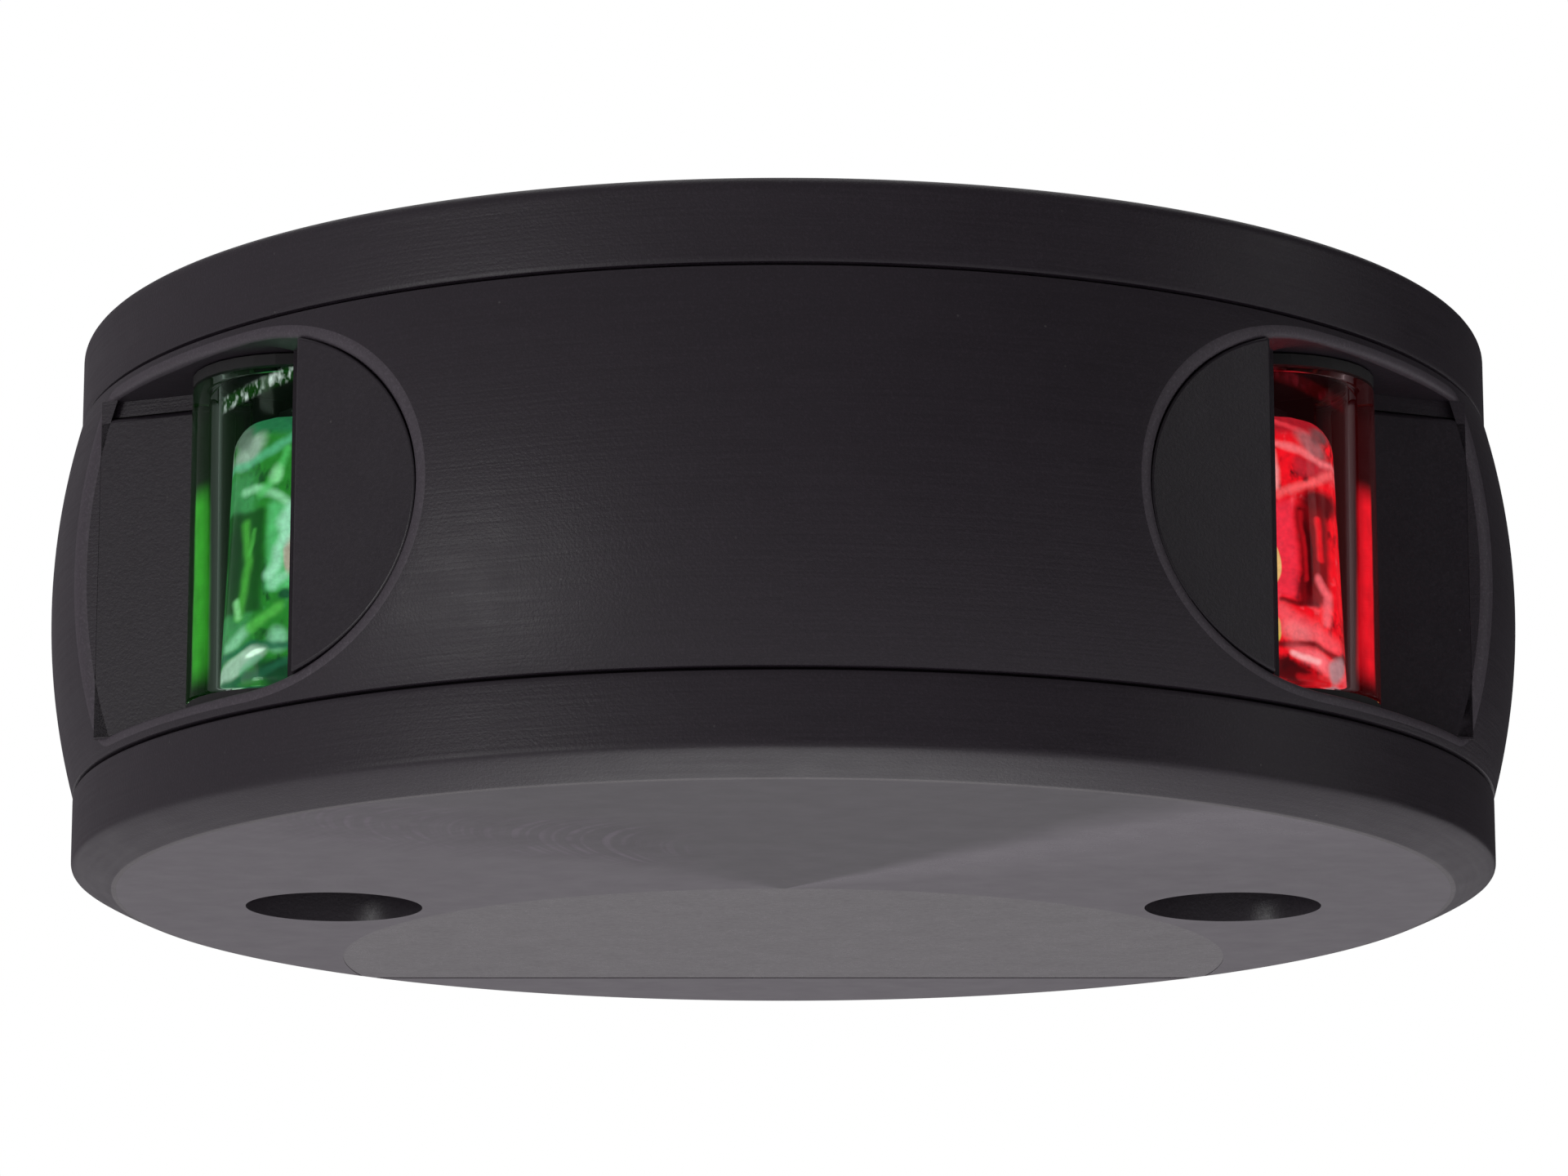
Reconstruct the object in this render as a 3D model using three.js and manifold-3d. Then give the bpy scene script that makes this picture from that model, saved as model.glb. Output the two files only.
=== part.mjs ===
// Two-colour bow navigation light, millimetres.
// Frame: origin at the centre of the underside, +Z up to the mounting face,
// -Y is dead ahead, -X is starboard (green), +X is port (red).
import * as THREE from 'three';
import { mergeVertices } from 'three/addons/utils/BufferGeometryUtils.js';
import Module from 'manifold-3d';

const wasm = await Module();
wasm.setup();

// ---------------------------------------------------------------- dimensions
const R_DISC = 40.0;          // radius of the two flat discs and of the barrel at its ends
const R_BARREL = 41.45;       // radius of the barrel at half height
const Z_CAP_TOP = 5.16;       // underside cap, top face
const Z_BODY_0 = 5.28;        // barrel, lower face (0.12 mm joint line)
const Z_BODY_1 = 26.07;       // barrel, upper face
const Z_PLATE_0 = 26.19;      // mounting plate, lower face
const Z_TOP = 30.82;          // mounting face
const Z_MID = 15.675;         // half height of the barrel
const N_ROUND = 96;           // facets round the discs

const BOLT_X = 25.5;          // M5 mounting holes
const BOLT_Y = 1.6;
const BOLT_D = 5.5;
const CBORE_D = 10.0;
const CBORE_H = 3.2;

const LABEL_R = 26.4;         // blank shallow zone in the underside
const LABEL_CY = 21.7;
const LABEL_CHORD_Y = 28.2;
const LABEL_DEPTH = 0.3;

const WIN_X = -28.1;          // round forward end of the window, a fore-and-aft cylinder
const WIN_Z = 15.66;
const WIN_R = 9.4;
const WIN_FLOOR_Y = -28.0;    // seat of the forward shutter
const APEX = [-25.8, -20.7];  // light centre: the 0 and 112.5 degree cut-off planes meet here
const AFT_DEG = 112.5;
const RIM_K = 13.42;          // apex to window rim along the aft cut-off plane
const AFT_K0 = 6.6;           // aft shutter, inner and outer end along that plane
const AFT_K1 = 12.4;
const AFT_T = 2.9;            // aft shutter thickness
const AFT_TOP = 24.08;
const CHAMBER_R = 6.3;
const LENS_R = 6.0;
const LENS_RI = 4.5;
const LENS_Z0 = 7.05;
const LENS_Z1 = 24.27;
const PANEL_X = -28.1;        // round outline of the forward shutter
const PANEL_R = 9.1;
const PANEL_A = [-18.9, -35.8]; // two points of its outer face in plan
const PANEL_B = [-25.8, -31.2];

const CAV_X = 16;             // electronics bay
const CAV_Y0 = -22;
const CAV_Y1 = 24;
const CAV_R = 6;
const SEAL_W = 1.8;           // seal cord
const SEAL_OFF = 2.6;         // seal centre line, outside the bay
const SEAL_GROOVE = 1.5;

const SCREW_POS = [[-11, -32.6], [11, -32.6], [-24, 24.3], [24, 24.3]];

// ---------------------------------------------------------------- helpers
const deg = (a) => (a * Math.PI) / 180;

function clean(geo) {
  const g = new THREE.BufferGeometry();
  g.setAttribute('position', geo.getAttribute('position').clone());
  if (geo.index) g.setIndex(Array.from(geo.index.array));
  const m = mergeVertices(g, 1e-4);
  const p = m.getAttribute('position').array;
  const idx = m.index.array;
  const keep = [];
  for (let i = 0; i < idx.length; i += 3) {
    const [a, b, c] = [idx[i], idx[i + 1], idx[i + 2]];
    if (a === b || b === c || a === c) continue;
    keep.push(a, b, c);
  }
  let vol = 0;
  for (let i = 0; i < keep.length; i += 3) {
    const [a, b, c] = [keep[i] * 3, keep[i + 1] * 3, keep[i + 2] * 3];
    vol += p[a] * (p[b + 1] * p[c + 2] - p[b + 2] * p[c + 1])
      - p[a + 1] * (p[b] * p[c + 2] - p[b + 2] * p[c])
      + p[a + 2] * (p[b] * p[c + 1] - p[b + 1] * p[c]);
  }
  if (vol < 0) for (let i = 0; i < keep.length; i += 3) [keep[i + 1], keep[i + 2]] = [keep[i + 2], keep[i + 1]];
  const out = new THREE.BufferGeometry();
  out.setAttribute('position', new THREE.BufferAttribute(new Float32Array(p), 3));
  out.setIndex(keep);
  return out;
}

function solid(geo) {
  const g = clean(geo);
  return new wasm.Manifold(new wasm.Mesh({
    numProp: 3,
    vertProperties: new Float32Array(g.getAttribute('position').array),
    triVerts: new Uint32Array(g.index.array),
  }));
}

function geometry(man) {
  const m = man.getMesh();
  const g = new THREE.BufferGeometry();
  const n = m.numProp;
  const v = new Float32Array((m.vertProperties.length / n) * 3);
  for (let i = 0, j = 0; i < m.vertProperties.length; i += n, j += 3) {
    v[j] = m.vertProperties[i]; v[j + 1] = m.vertProperties[i + 1]; v[j + 2] = m.vertProperties[i + 2];
  }
  g.setAttribute('position', new THREE.BufferAttribute(v, 3));
  g.setIndex(Array.from(m.triVerts));
  return g;
}

function shapeOf(pts) {
  const s = new THREE.Shape();
  pts.forEach(([x, y], i) => (i ? s.lineTo(x, y) : s.moveTo(x, y)));
  s.closePath();
  return s;
}

// straight prism from a plan outline, z0 to z1
function prism(pts, z0, z1, hole) {
  const s = shapeOf(pts);
  if (hole) s.holes.push(new THREE.Path(hole.map(([x, y]) => new THREE.Vector2(x, y))));
  const g = new THREE.ExtrudeGeometry(s, { depth: z1 - z0, bevelEnabled: false, steps: 1 });
  g.translate(0, 0, z0);
  return g;
}

// fore-and-aft prism from an X-Z outline, y0 to y1
function prismY(pts, y0, y1) {
  const g = new THREE.ExtrudeGeometry(shapeOf(pts), { depth: y1 - y0, bevelEnabled: false, steps: 1 });
  g.rotateX(Math.PI / 2);
  g.translate(0, y1, 0);
  return g;
}

function cyl(x, y, r, z0, z1, n = 32) {
  const g = new THREE.CylinderGeometry(r, r, z1 - z0, n);
  g.rotateX(Math.PI / 2);
  g.translate(x, y, (z0 + z1) / 2);
  return g;
}

function lathe(profile, n, x = 0, y = 0) {
  const g = new THREE.LatheGeometry(profile.map(([r, z]) => new THREE.Vector2(r, z)), n);
  g.rotateX(Math.PI / 2);
  g.translate(x, y, 0);
  return g;
}

function arc(cx, cy, r, a0, a1, n) {
  const out = [];
  for (let i = 0; i <= n; i++) {
    const a = deg(a0 + ((a1 - a0) * i) / n);
    out.push([cx + r * Math.cos(a), cy + r * Math.sin(a)]);
  }
  return out;
}

function roundRect(x0, y0, x1, y1, r, n = 6) {
  return [
    ...arc(x1 - r, y1 - r, r, 0, 90, n), ...arc(x0 + r, y1 - r, r, 90, 180, n),
    ...arc(x0 + r, y0 + r, r, 180, 270, n), ...arc(x1 - r, y0 + r, r, 270, 360, n),
  ];
}

function mirrorX(geo) {
  const g = clean(geo);
  const p = g.getAttribute('position');
  for (let i = 0; i < p.count; i++) p.setX(i, -p.getX(i));
  return clean(g);
}

// plan direction at a bearing from dead ahead, to starboard
const dir = (b) => [-Math.sin(deg(b)), -Math.cos(deg(b))];
const at = (p, d, k, n = [0, 0], m = 0) => [p[0] + d[0] * k + n[0] * m, p[1] + d[1] * k + n[1] * m];
const T = dir(AFT_DEG);                 // along the aft cut-off plane, outwards
const N = [-T[1] * -1, T[0] * -1];      // aft of that plane
const U = dir(AFT_DEG / 2);             // middle of the sector, outwards
const V = [U[1], -U[0]];                // across it

// points of a plan rectangle in the sector's own u (outwards), v (across) frame
const uv = (u, v) => [APEX[0] + U[0] * u + V[0] * v, APEX[1] + U[1] * u + V[1] * v];
const rectUV = (u0, u1, w) => [uv(u0, -w), uv(u1, -w), uv(u1, w), uv(u0, w)];
const bearingArc = (r, b0, b1, n) => {
  const out = [];
  for (let i = 0; i <= n; i++) {
    const d = dir(b0 + ((b1 - b0) * i) / n);
    out.push([APEX[0] + d[0] * r, APEX[1] + d[1] * r]);
  }
  return out;
};
// a solid of revolution whose axis points outwards along u, at height z
function turnedU(profile, z, n = 20, v = 0) {
  const g = new THREE.LatheGeometry(profile.map(([r, h]) => new THREE.Vector2(r, h)), n);
  const q = new THREE.Quaternion().setFromUnitVectors(new THREE.Vector3(0, 1, 0), new THREE.Vector3(U[0], U[1], 0));
  g.applyQuaternion(q);
  const c = uv(0, v);
  g.translate(c[0], c[1], z);
  return g;
}

const group = new THREE.Group();
group.name = 'navigation_light';
function add(name, geo, color, roughness, metalness) {
  const mat = new THREE.MeshStandardMaterial({ color, roughness, metalness });
  const mesh = new THREE.Mesh(clean(geo), mat);
  mesh.name = name;
  group.add(mesh);
}
function addPair(name, geo, colorS, roughness, metalness, colorP = colorS) {
  add(`starboard_${name}`, geo, colorS, roughness, metalness);
  add(`port_${name}`, mirrorX(geo), colorP, roughness, metalness);
}
const BLACK = 0x2c2a2d;

// ---------------------------------------------------------------- underside cap
{
  const edge = [[37.64, 0], [38.35, 0.2], [39.05, 0.52], [39.58, 0.95], [39.88, 1.42], [R_DISC, 1.95]];
  let m = solid(lathe([[0, 0], ...edge, [R_DISC, Z_CAP_TOP], [0, Z_CAP_TOP]], N_ROUND));
  for (const s of [-1, 1]) {
    m = m.subtract(solid(cyl(s * BOLT_X, BOLT_Y, CBORE_D / 2, -1, CBORE_H, 36)));
    m = m.subtract(solid(cyl(s * BOLT_X, BOLT_Y, BOLT_D / 2, -1, 8, 28)));
  }
  // blank zone: a disc cut off by a straight chord
  const half = Math.sqrt(LABEL_R ** 2 - (LABEL_CHORD_Y - LABEL_CY) ** 2);
  const a0 = (Math.atan2(LABEL_CHORD_Y - LABEL_CY, half) * 180) / Math.PI;
  m = m.subtract(solid(prism(arc(0, LABEL_CY, LABEL_R, 180 - a0, 360 + a0, 48), -1, LABEL_DEPTH)));
  // seal groove
  const o = SEAL_OFF + SEAL_W / 2 + 0.3;
  const i = SEAL_OFF - SEAL_W / 2 - 0.3;
  m = m.subtract(solid(prism(
    roundRect(-CAV_X - o, CAV_Y0 - o, CAV_X + o, CAV_Y1 + o, CAV_R + o),
    Z_CAP_TOP - SEAL_GROOVE, Z_CAP_TOP + 1,
    roundRect(-CAV_X - i, CAV_Y0 - i, CAV_X + i, CAV_Y1 + i, CAV_R + i))));
  // tapped blind holes for the assembly screws
  for (const [x, y] of SCREW_POS) m = m.subtract(solid(cyl(x, y, 1.75, 1.4, 8, 16)));
  // posts that carry the driver board, with their blind screw holes
  for (const y of [-13.5, 17]) {
    m = m.add(solid(cyl(0, y, 2.6, Z_CAP_TOP - 1, 8.6, 20)));
    m = m.subtract(solid(cyl(0, y, 1.25, 3.4, 12, 14)));
  }
  add('bottom_cap', geometry(m), BLACK, 0.5, 0);
}

// ---------------------------------------------------------------- barrel
const openSector = (reach) => [
  APEX, at(APEX, dir(0), reach), at(APEX, dir(40), reach * 1.3), at(APEX, dir(80), reach * 1.3), at(APEX, T, reach),
];
{
  const rho = 38.39;
  const cr = R_BARREL - rho;
  const prof = [];
  const a = Math.asin((Z_BODY_1 - Z_MID) / rho);
  for (let k = 0; k <= 8; k++) {
    const t = -a + (2 * a * k) / 8;
    prof.push([cr + rho * Math.cos(t), Z_MID + rho * Math.sin(t)]);
  }
  prof[0][1] = Z_BODY_0; prof[8][1] = Z_BODY_1;
  let m = solid(lathe([[0, Z_BODY_0], ...prof, [0, Z_BODY_1]], N_ROUND));
  // electronics bay, right through
  m = m.subtract(solid(prism(roundRect(-CAV_X, CAV_Y0, CAV_X, CAV_Y1, CAV_R), 0, 40)));
  for (const s of [-1, 1]) m = m.subtract(solid(cyl(s * BOLT_X, BOLT_Y, BOLT_D / 2, 0, 40, 28)));
  for (const [x, y] of SCREW_POS) m = m.subtract(solid(cyl(x, y, 1.75, 0, 40, 16)));
  // the two windows
  const z0 = WIN_Z - WIN_R;
  const z1 = WIN_Z + WIN_R;
  const cutters = [
    prismY([...arc(WIN_X, WIN_Z, WIN_R, -90, 90, 36), [-60, z1], [-60, z0]], -60, WIN_FLOOR_Y),
    prism(openSector(60), z0, z1),
    prism([at(APEX, T, 5.5), at(APEX, T, AFT_K1 + 0.2), at(APEX, T, AFT_K1 + 0.2, N, AFT_T + 0.3), at(APEX, T, 5.5, N, AFT_T + 0.3)], z0, z1),
    prism(arc(APEX[0], APEX[1], CHAMBER_R, 0, 357.5, 47), z0, z1),
    prism(rectUV(-14, 1, 5.2), z0, z1),
  ];
  for (const c of cutters) {
    m = m.subtract(solid(c));
    m = m.subtract(solid(mirrorX(c)));
  }
  add('housing_body', geometry(m), BLACK, 0.5, 0);
}

// ---------------------------------------------------------------- mounting plate
{
  const f = 0.7;
  const edge = [[R_DISC, Z_TOP - f], [R_DISC - f * 0.134, Z_TOP - f * 0.5], [R_DISC - f * 0.5, Z_TOP - f * 0.134], [R_DISC - f, Z_TOP]];
  let m = solid(lathe([[0, Z_PLATE_0], [R_DISC, Z_PLATE_0], ...edge, [0, Z_TOP]], N_ROUND));
  for (const s of [-1, 1]) m = m.subtract(solid(cyl(s * BOLT_X, BOLT_Y, BOLT_D / 2, 20, 40, 28)));
  for (const [x, y] of SCREW_POS) {
    m = m.subtract(solid(lathe([[0, 20], [1.75, 20], [1.75, Z_TOP - 2.0], [3.3, Z_TOP - 0.45], [3.3, 40], [0, 40]], 20, x, y)));
  }
  // gland hole with an internal step
  m = m.subtract(solid(cyl(0, 8, 5.3, 20, 40, 32)));
  const o = SEAL_OFF + SEAL_W / 2 + 0.3;
  const i = SEAL_OFF - SEAL_W / 2 - 0.3;
  m = m.subtract(solid(prism(
    roundRect(-CAV_X - o, CAV_Y0 - o, CAV_X + o, CAV_Y1 + o, CAV_R + o),
    20, Z_PLATE_0 + SEAL_GROOVE,
    roundRect(-CAV_X - i, CAV_Y0 - i, CAV_X + i, CAV_Y1 + i, CAV_R + i))));
  add('top_plate', geometry(m), BLACK, 0.5, 0);
}

// ---------------------------------------------------------------- seals
{
  const o = SEAL_OFF + SEAL_W / 2;
  const i = SEAL_OFF - SEAL_W / 2;
  const ring = (z0, z1) => prism(
    roundRect(-CAV_X - o, CAV_Y0 - o, CAV_X + o, CAV_Y1 + o, CAV_R + o), z0, z1,
    roundRect(-CAV_X - i, CAV_Y0 - i, CAV_X + i, CAV_Y1 + i, CAV_R + i));
  add('lower_seal', ring(Z_CAP_TOP - SEAL_GROOVE + 0.05, Z_BODY_0 - 0.02), 0x151515, 0.8, 0);
  add('upper_seal', ring(Z_BODY_1 + 0.02, Z_PLATE_0 + SEAL_GROOVE - 0.05), 0x151515, 0.8, 0);
}

// ---------------------------------------------------------------- shutters
{
  // forward: round outline, flat outer face set 1.2 mm below the barrel, inner face dead ahead
  const half = Math.asin((APEX[0] - PANEL_X) / PANEL_R);
  const a0 = 90 - (half * 180) / Math.PI;
  let m = solid(prismY(arc(PANEL_X, WIN_Z, PANEL_R, -a0, a0, 36), -45, WIN_FLOOR_Y - 0.15));
  const d = [PANEL_B[0] - PANEL_A[0], PANEL_B[1] - PANEL_A[1]];
  const p = (k) => [PANEL_A[0] + d[0] * k, PANEL_A[1] + d[1] * k];
  m = m.subtract(solid(prism([p(-2), p(3), [p(3)[0], -70], [p(-2)[0], -70]], 0, 40)));
  addPair('front_shutter', geometry(m), BLACK, 0.5, 0);

  const aft = [at(APEX, T, AFT_K0), at(APEX, T, AFT_K1), at(APEX, T, AFT_K1, N, AFT_T), at(APEX, T, AFT_K0, N, AFT_T)];
  addPair('rear_shutter', prism(aft, WIN_Z - WIN_R + 0.15, AFT_TOP), BLACK, 0.5, 0);
}

// ---------------------------------------------------------------- lenses and gaskets
{
  const ring = (ro, ri, b0, b1, n) => [...bearingArc(ro, b0, b1, n), ...bearingArc(ri, b1, b0, n)];
  addPair('lens', prism(ring(LENS_R, LENS_RI, -24, 136.5, 24), LENS_Z0, LENS_Z1), 0x0a8a3c, 0.08, 0, 0xe01020);
  addPair('lens_gasket_lower', prism(ring(LENS_R, LENS_RI, -24, 136.5, 14), 6.36, 6.95), 0x121212, 0.8, 0);
  addPair('lens_gasket_upper', prism(ring(LENS_R, LENS_RI, -24, 136.5, 14), 24.37, 24.96), 0x121212, 0.8, 0);
}

// ---------------------------------------------------------------- light units
{
  // emitter: square package with a round dome
  let e = solid(prism(rectUV(-0.75, 0.05, 1.72), WIN_Z - 1.72, WIN_Z + 1.72));
  const dome = [[0, -0.3], [1.3, -0.3], [1.3, 0.1], [1.2, 0.6], [0.92, 1.02], [0.5, 1.3], [0, 1.4]];
  e = e.add(solid(turnedU(dome, WIN_Z, 20)));
  addPair('led', geometry(e), 0xf2d44a, 0.3, 0);

  // optic: clear round-fronted block in front of the emitter
  const front = [];
  for (let k = 0; k <= 14; k++) {
    const t = deg(-62 + (124 * k) / 14);
    front.push(uv(4.1 * Math.cos(t), 4.1 * Math.sin(t)));
  }
  addPair('optic', prism([...front, uv(1.75, 4.1 * Math.sin(deg(62))), uv(1.75, -4.1 * Math.sin(deg(62)))].reverse(), 12.15, 19.2), 0xdfe6e2, 0.05, 0);

  // metal-core board and aluminium heat spreader, with two screws
  let b = solid(prism(rectUV(-1.8, -0.8, 4.3), 7.3, 24.0));
  let h = solid(prism(rectUV(-6.6, -2.0, 4.5), 6.9, 24.4));
  for (const z of [10.0, 21.3]) {
    const hole = turnedU([[0, -6.1], [1.15, -6.1], [1.15, 2], [0, 2]], z, 14);
    b = b.subtract(solid(hole));
    h = h.subtract(solid(hole));
    const prof = [[0, -5.6], [0.85, -5.6], [0.85, -0.7], [1.75, -0.7], [1.75, -0.1], [1.3, 0.35], [0, 0.5]];
    addPair(z < 15 ? 'board_screw_lower' : 'board_screw_upper', turnedU(prof, z, 14), 0xb8b8b8, 0.35, 1);
  }
  addPair('led_board', geometry(b), 0xe8e8e4, 0.5, 0);
  addPair('heat_spreader', geometry(h), 0xb5b8ba, 0.4, 1);

  // two-core lead from each light board to the driver, inside the bay
  const path = new THREE.CatmullRomCurve3([
    new THREE.Vector3(-19.6, -16.6, 21.5), new THREE.Vector3(-17.4, -15.2, 21.6), new THREE.Vector3(-14.2, -13.9, 20.4),
    new THREE.Vector3(-11.7, -12.9, 16.5), new THREE.Vector3(-10.4, -12.2, 12.8), new THREE.Vector3(-10.0, -11.9, 10.75),
  ]);
  const sec = shapeOf(arc(0, 0, 0.8, 0, 315, 7));
  addPair('led_lead', new THREE.ExtrudeGeometry(sec, { steps: 16, extrudePath: path, bevelEnabled: false }), 0x1b1b1b, 0.6, 0);
}

// ---------------------------------------------------------------- driver electronics
{
  let b = solid(prism(roundRect(-13, -18, 13, 21, 1.5, 3), 8.7, 10.3));
  for (const y of [-13.5, 17]) {
    b = b.subtract(solid(cyl(0, y, 1.5, 5, 14, 14)));
    add(y < 0 ? 'driver_screw_fore' : 'driver_screw_aft',
      lathe([[0, 4.2], [1.0, 4.2], [1.0, 10.4], [2.2, 10.4], [2.2, 11.2], [1.6, 11.8], [0, 12.0]], 14, 0, y), 0xb8b8b8, 0.35, 1);
  }
  add('driver_board', geometry(b), 0x1e5a34, 0.45, 0);
  add('inductor', lathe([[0, 10.5], [4.2, 10.5], [4.2, 11.4], [3.1, 11.7], [3.1, 15.0], [4.2, 15.3], [4.2, 16.2], [0, 16.2]], 24, -7, 12), 0x3a3a3c, 0.6, 0);
  add('capacitor', lathe([[0, 10.5], [3.1, 10.5], [3.15, 11.0], [3.15, 17.6], [2.8, 18.1], [0, 18.1]], 24, 7.5, 14), 0x2b2b33, 0.35, 0.2);
  add('rectifier', prism(roundRect(-10.6, -5.2, -3.4, 0.8, 0.4, 2), 10.5, 12.9), 0x1c1c1c, 0.5, 0);
  add('driver_chip', prism(roundRect(-1.4, 0.6, 3.6, 6.6, 0.3, 2), 10.5, 12.1), 0x1a1a1a, 0.5, 0);
  let t = solid(prism([[2.2, -10.4], [11.4, -10.4], [11.4, -2.2], [2.2, -2.2]], 10.5, 18.6));
  for (const x of [4.6, 9.0]) {
    t = t.subtract(solid(cyl(x, -6.0, 1.3, 15.2, 30, 14)));
    t = t.subtract(solid(prism([[x - 1.2, -20], [x + 1.2, -20], [x + 1.2, -6.4], [x - 1.2, -6.4]], 11.8, 14.2)));
  }
  add('terminal_block', geometry(t), 0x2f6b3c, 0.5, 0);
}

// ---------------------------------------------------------------- cable gland and assembly screws
{
  // flanged bush with a 6 mm cable hole, flush with the mounting face
  add('cable_gland', lathe([
    [3.0, 21.6], [4.6, 21.6], [5.0, 22.2], [5.0, 24.1], [7.4, 24.1], [7.4, 25.9], [5.0, 25.9],
    [5.0, Z_TOP - 0.15], [3.8, Z_TOP - 0.15], [3.0, Z_TOP - 0.95], [3.0, 21.6],
  ], 32, 0, 8), 0x1a1a1c, 0.6, 0);
  SCREW_POS.forEach(([x, y], k) => {
    const zt = Z_TOP - 0.3;
    const hex = arc(x, y, 1.15, 0, 300, 5);
    let m = solid(lathe([[0, 2.2], [1.25, 2.2], [1.45, 2.5], [1.45, zt - 1.85], [2.95, zt - 0.35], [2.95, zt], [0, zt]], 20, x, y));
    m = m.subtract(solid(prism(hex, zt - 1.3, zt + 2)));
    add(`assembly_screw_${k + 1}`, geometry(m), 0xc0c0c0, 0.3, 1);
  });
}

export default group;
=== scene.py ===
import math
import bpy
import bmesh
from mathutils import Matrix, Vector
from mathutils.geometry import delaunay_2d_cdt


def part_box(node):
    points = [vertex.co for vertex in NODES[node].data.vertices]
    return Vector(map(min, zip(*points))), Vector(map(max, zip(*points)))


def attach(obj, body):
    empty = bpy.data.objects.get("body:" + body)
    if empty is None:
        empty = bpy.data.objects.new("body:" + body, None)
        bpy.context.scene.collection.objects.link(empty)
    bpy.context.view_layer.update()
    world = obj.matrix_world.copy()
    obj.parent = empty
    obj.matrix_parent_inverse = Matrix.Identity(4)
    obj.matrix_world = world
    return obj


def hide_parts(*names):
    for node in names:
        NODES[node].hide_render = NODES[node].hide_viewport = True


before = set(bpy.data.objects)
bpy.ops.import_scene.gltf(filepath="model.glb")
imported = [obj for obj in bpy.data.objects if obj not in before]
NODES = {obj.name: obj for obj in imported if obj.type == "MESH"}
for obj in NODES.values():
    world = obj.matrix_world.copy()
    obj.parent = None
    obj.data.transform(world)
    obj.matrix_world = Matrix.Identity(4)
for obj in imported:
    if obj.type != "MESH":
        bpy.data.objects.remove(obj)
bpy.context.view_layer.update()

MM = 0.001
SCN = bpy.context.scene

# ------------------------------------------------------------------ dimensions (mm), same frame as the CAD
Z_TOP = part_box("top_plate")[1].z / MM
Z_PLATE0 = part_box("top_plate")[0].z / MM
Z_B0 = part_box("housing_body")[0].z / MM
Z_B1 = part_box("housing_body")[1].z / MM
R_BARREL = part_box("housing_body")[1].x / MM
R_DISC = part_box("top_plate")[1].x / MM
Z_CAP = 5.16
Z_MID = (Z_B0 + Z_B1) / 2
RHO = 38.39
RC = R_BARREL - RHO
WIN_X, WIN_Z, WIN_R = -28.1, 15.66, 9.4
APEX = (-25.8, -20.7)
SCREEN_X = -25.3
BOLT_X, BOLT_Y = 25.5, 1.6
SCREWS = [(-11, -32.6), (11, -32.6), (-24, 24.3), (24, 24.3)]
FILLET = 0.6


def direction(b):
    return (-math.sin(math.radians(b)), -math.cos(math.radians(b)))


T = direction(112.5)
N = (T[1], -T[0])
if N[1] < 0:
    N = (-N[0], -N[1])


def plan(k, n=0.0):
    return (APEX[0] + T[0] * k + N[0] * n, APEX[1] + T[1] * k + N[1] * n)


def radius(z):
    return RC + math.sqrt(RHO * RHO - (z - Z_MID) ** 2)


# ------------------------------------------------------------------ mesh helpers
def link(name, bm, mats, body="root"):
    me = bpy.data.meshes.new(name)
    bm.to_mesh(me)
    bm.free()
    ob = bpy.data.objects.new(name, me)
    SCN.collection.objects.link(ob)
    for m in (mats if isinstance(mats, (list, tuple)) else [mats]):
        me.materials.append(m)
    return ob


def finish_bm(bm, sharp=35.0, merge=0.002):
    bmesh.ops.remove_doubles(bm, verts=bm.verts, dist=merge)
    bmesh.ops.recalc_face_normals(bm, faces=bm.faces)
    for f in bm.faces:
        f.smooth = True
    lim = math.radians(sharp)
    for e in bm.edges:
        if len(e.link_faces) == 2:
            e.smooth = e.calc_face_angle(0.0) < lim
    bmesh.ops.scale(bm, vec=(MM, MM, MM), verts=bm.verts)


def mirrored(ob, name, mats):
    me = ob.data.copy()
    me.name = name
    bm = bmesh.new()
    bm.from_mesh(me)
    for v in bm.verts:
        v.co.x = -v.co.x
    bmesh.ops.reverse_faces(bm, faces=bm.faces)
    bm.to_mesh(me)
    bm.free()
    me.materials.clear()
    for m in (mats if isinstance(mats, (list, tuple)) else [mats]):
        me.materials.append(m)
    o = bpy.data.objects.new(name, me)
    SCN.collection.objects.link(o)
    return o


def strip(bm, rows, closed, mat=0):
    """quads between successive rows of points (each row the same length)"""
    vs = [[bm.verts.new(p) for p in row] for row in rows]
    n = len(rows[0])
    for a, b in zip(vs, vs[1:]):
        for i in range(n if closed else n - 1):
            j = (i + 1) % n
            bm.faces.new((a[i], a[j], b[j], b[i])).material_index = mat
    return vs


def lathe(bm, profile, n, cx=0.0, cy=0.0, closed_profile=False):
    rows = []
    for r, z in profile:
        rows.append([(cx + r * math.cos(2 * math.pi * i / n), cy + r * math.sin(2 * math.pi * i / n), z) for i in range(n)])
    vs = []
    for (r, z), row in zip(profile, rows):
        if r < 1e-6:
            v = bm.verts.new((cx, cy, z))
            vs.append([v] * n)
        else:
            vs.append([bm.verts.new(p) for p in row])
    pairs = list(zip(vs, vs[1:]))
    if closed_profile:
        pairs.append((vs[-1], vs[0]))
    for a, b in pairs:
        for i in range(n):
            j = (i + 1) % n
            q = []
            for v in (a[i], a[j], b[j], b[i]):
                if v not in q:
                    q.append(v)
            if len(q) > 2:
                bm.faces.new(q)


def arc_pts(cx, cy, r, a0, a1, n):
    return [(cx + r * math.cos(math.radians(a0 + (a1 - a0) * i / n)), cy + r * math.sin(math.radians(a0 + (a1 - a0) * i / n))) for i in range(n + 1)]


def prism_bm(pts, z0, z1):
    bm = bmesh.new()
    lo = [bm.verts.new((x, y, z0)) for x, y in pts]
    hi = [bm.verts.new((x, y, z1)) for x, y in pts]
    bm.faces.new(list(reversed(lo)))
    bm.faces.new(hi)
    n = len(pts)
    for i in range(n):
        j = (i + 1) % n
        bm.faces.new((lo[i], lo[j], hi[j], hi[i]))
    bmesh.ops.recalc_face_normals(bm, faces=bm.faces)
    return bm


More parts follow.
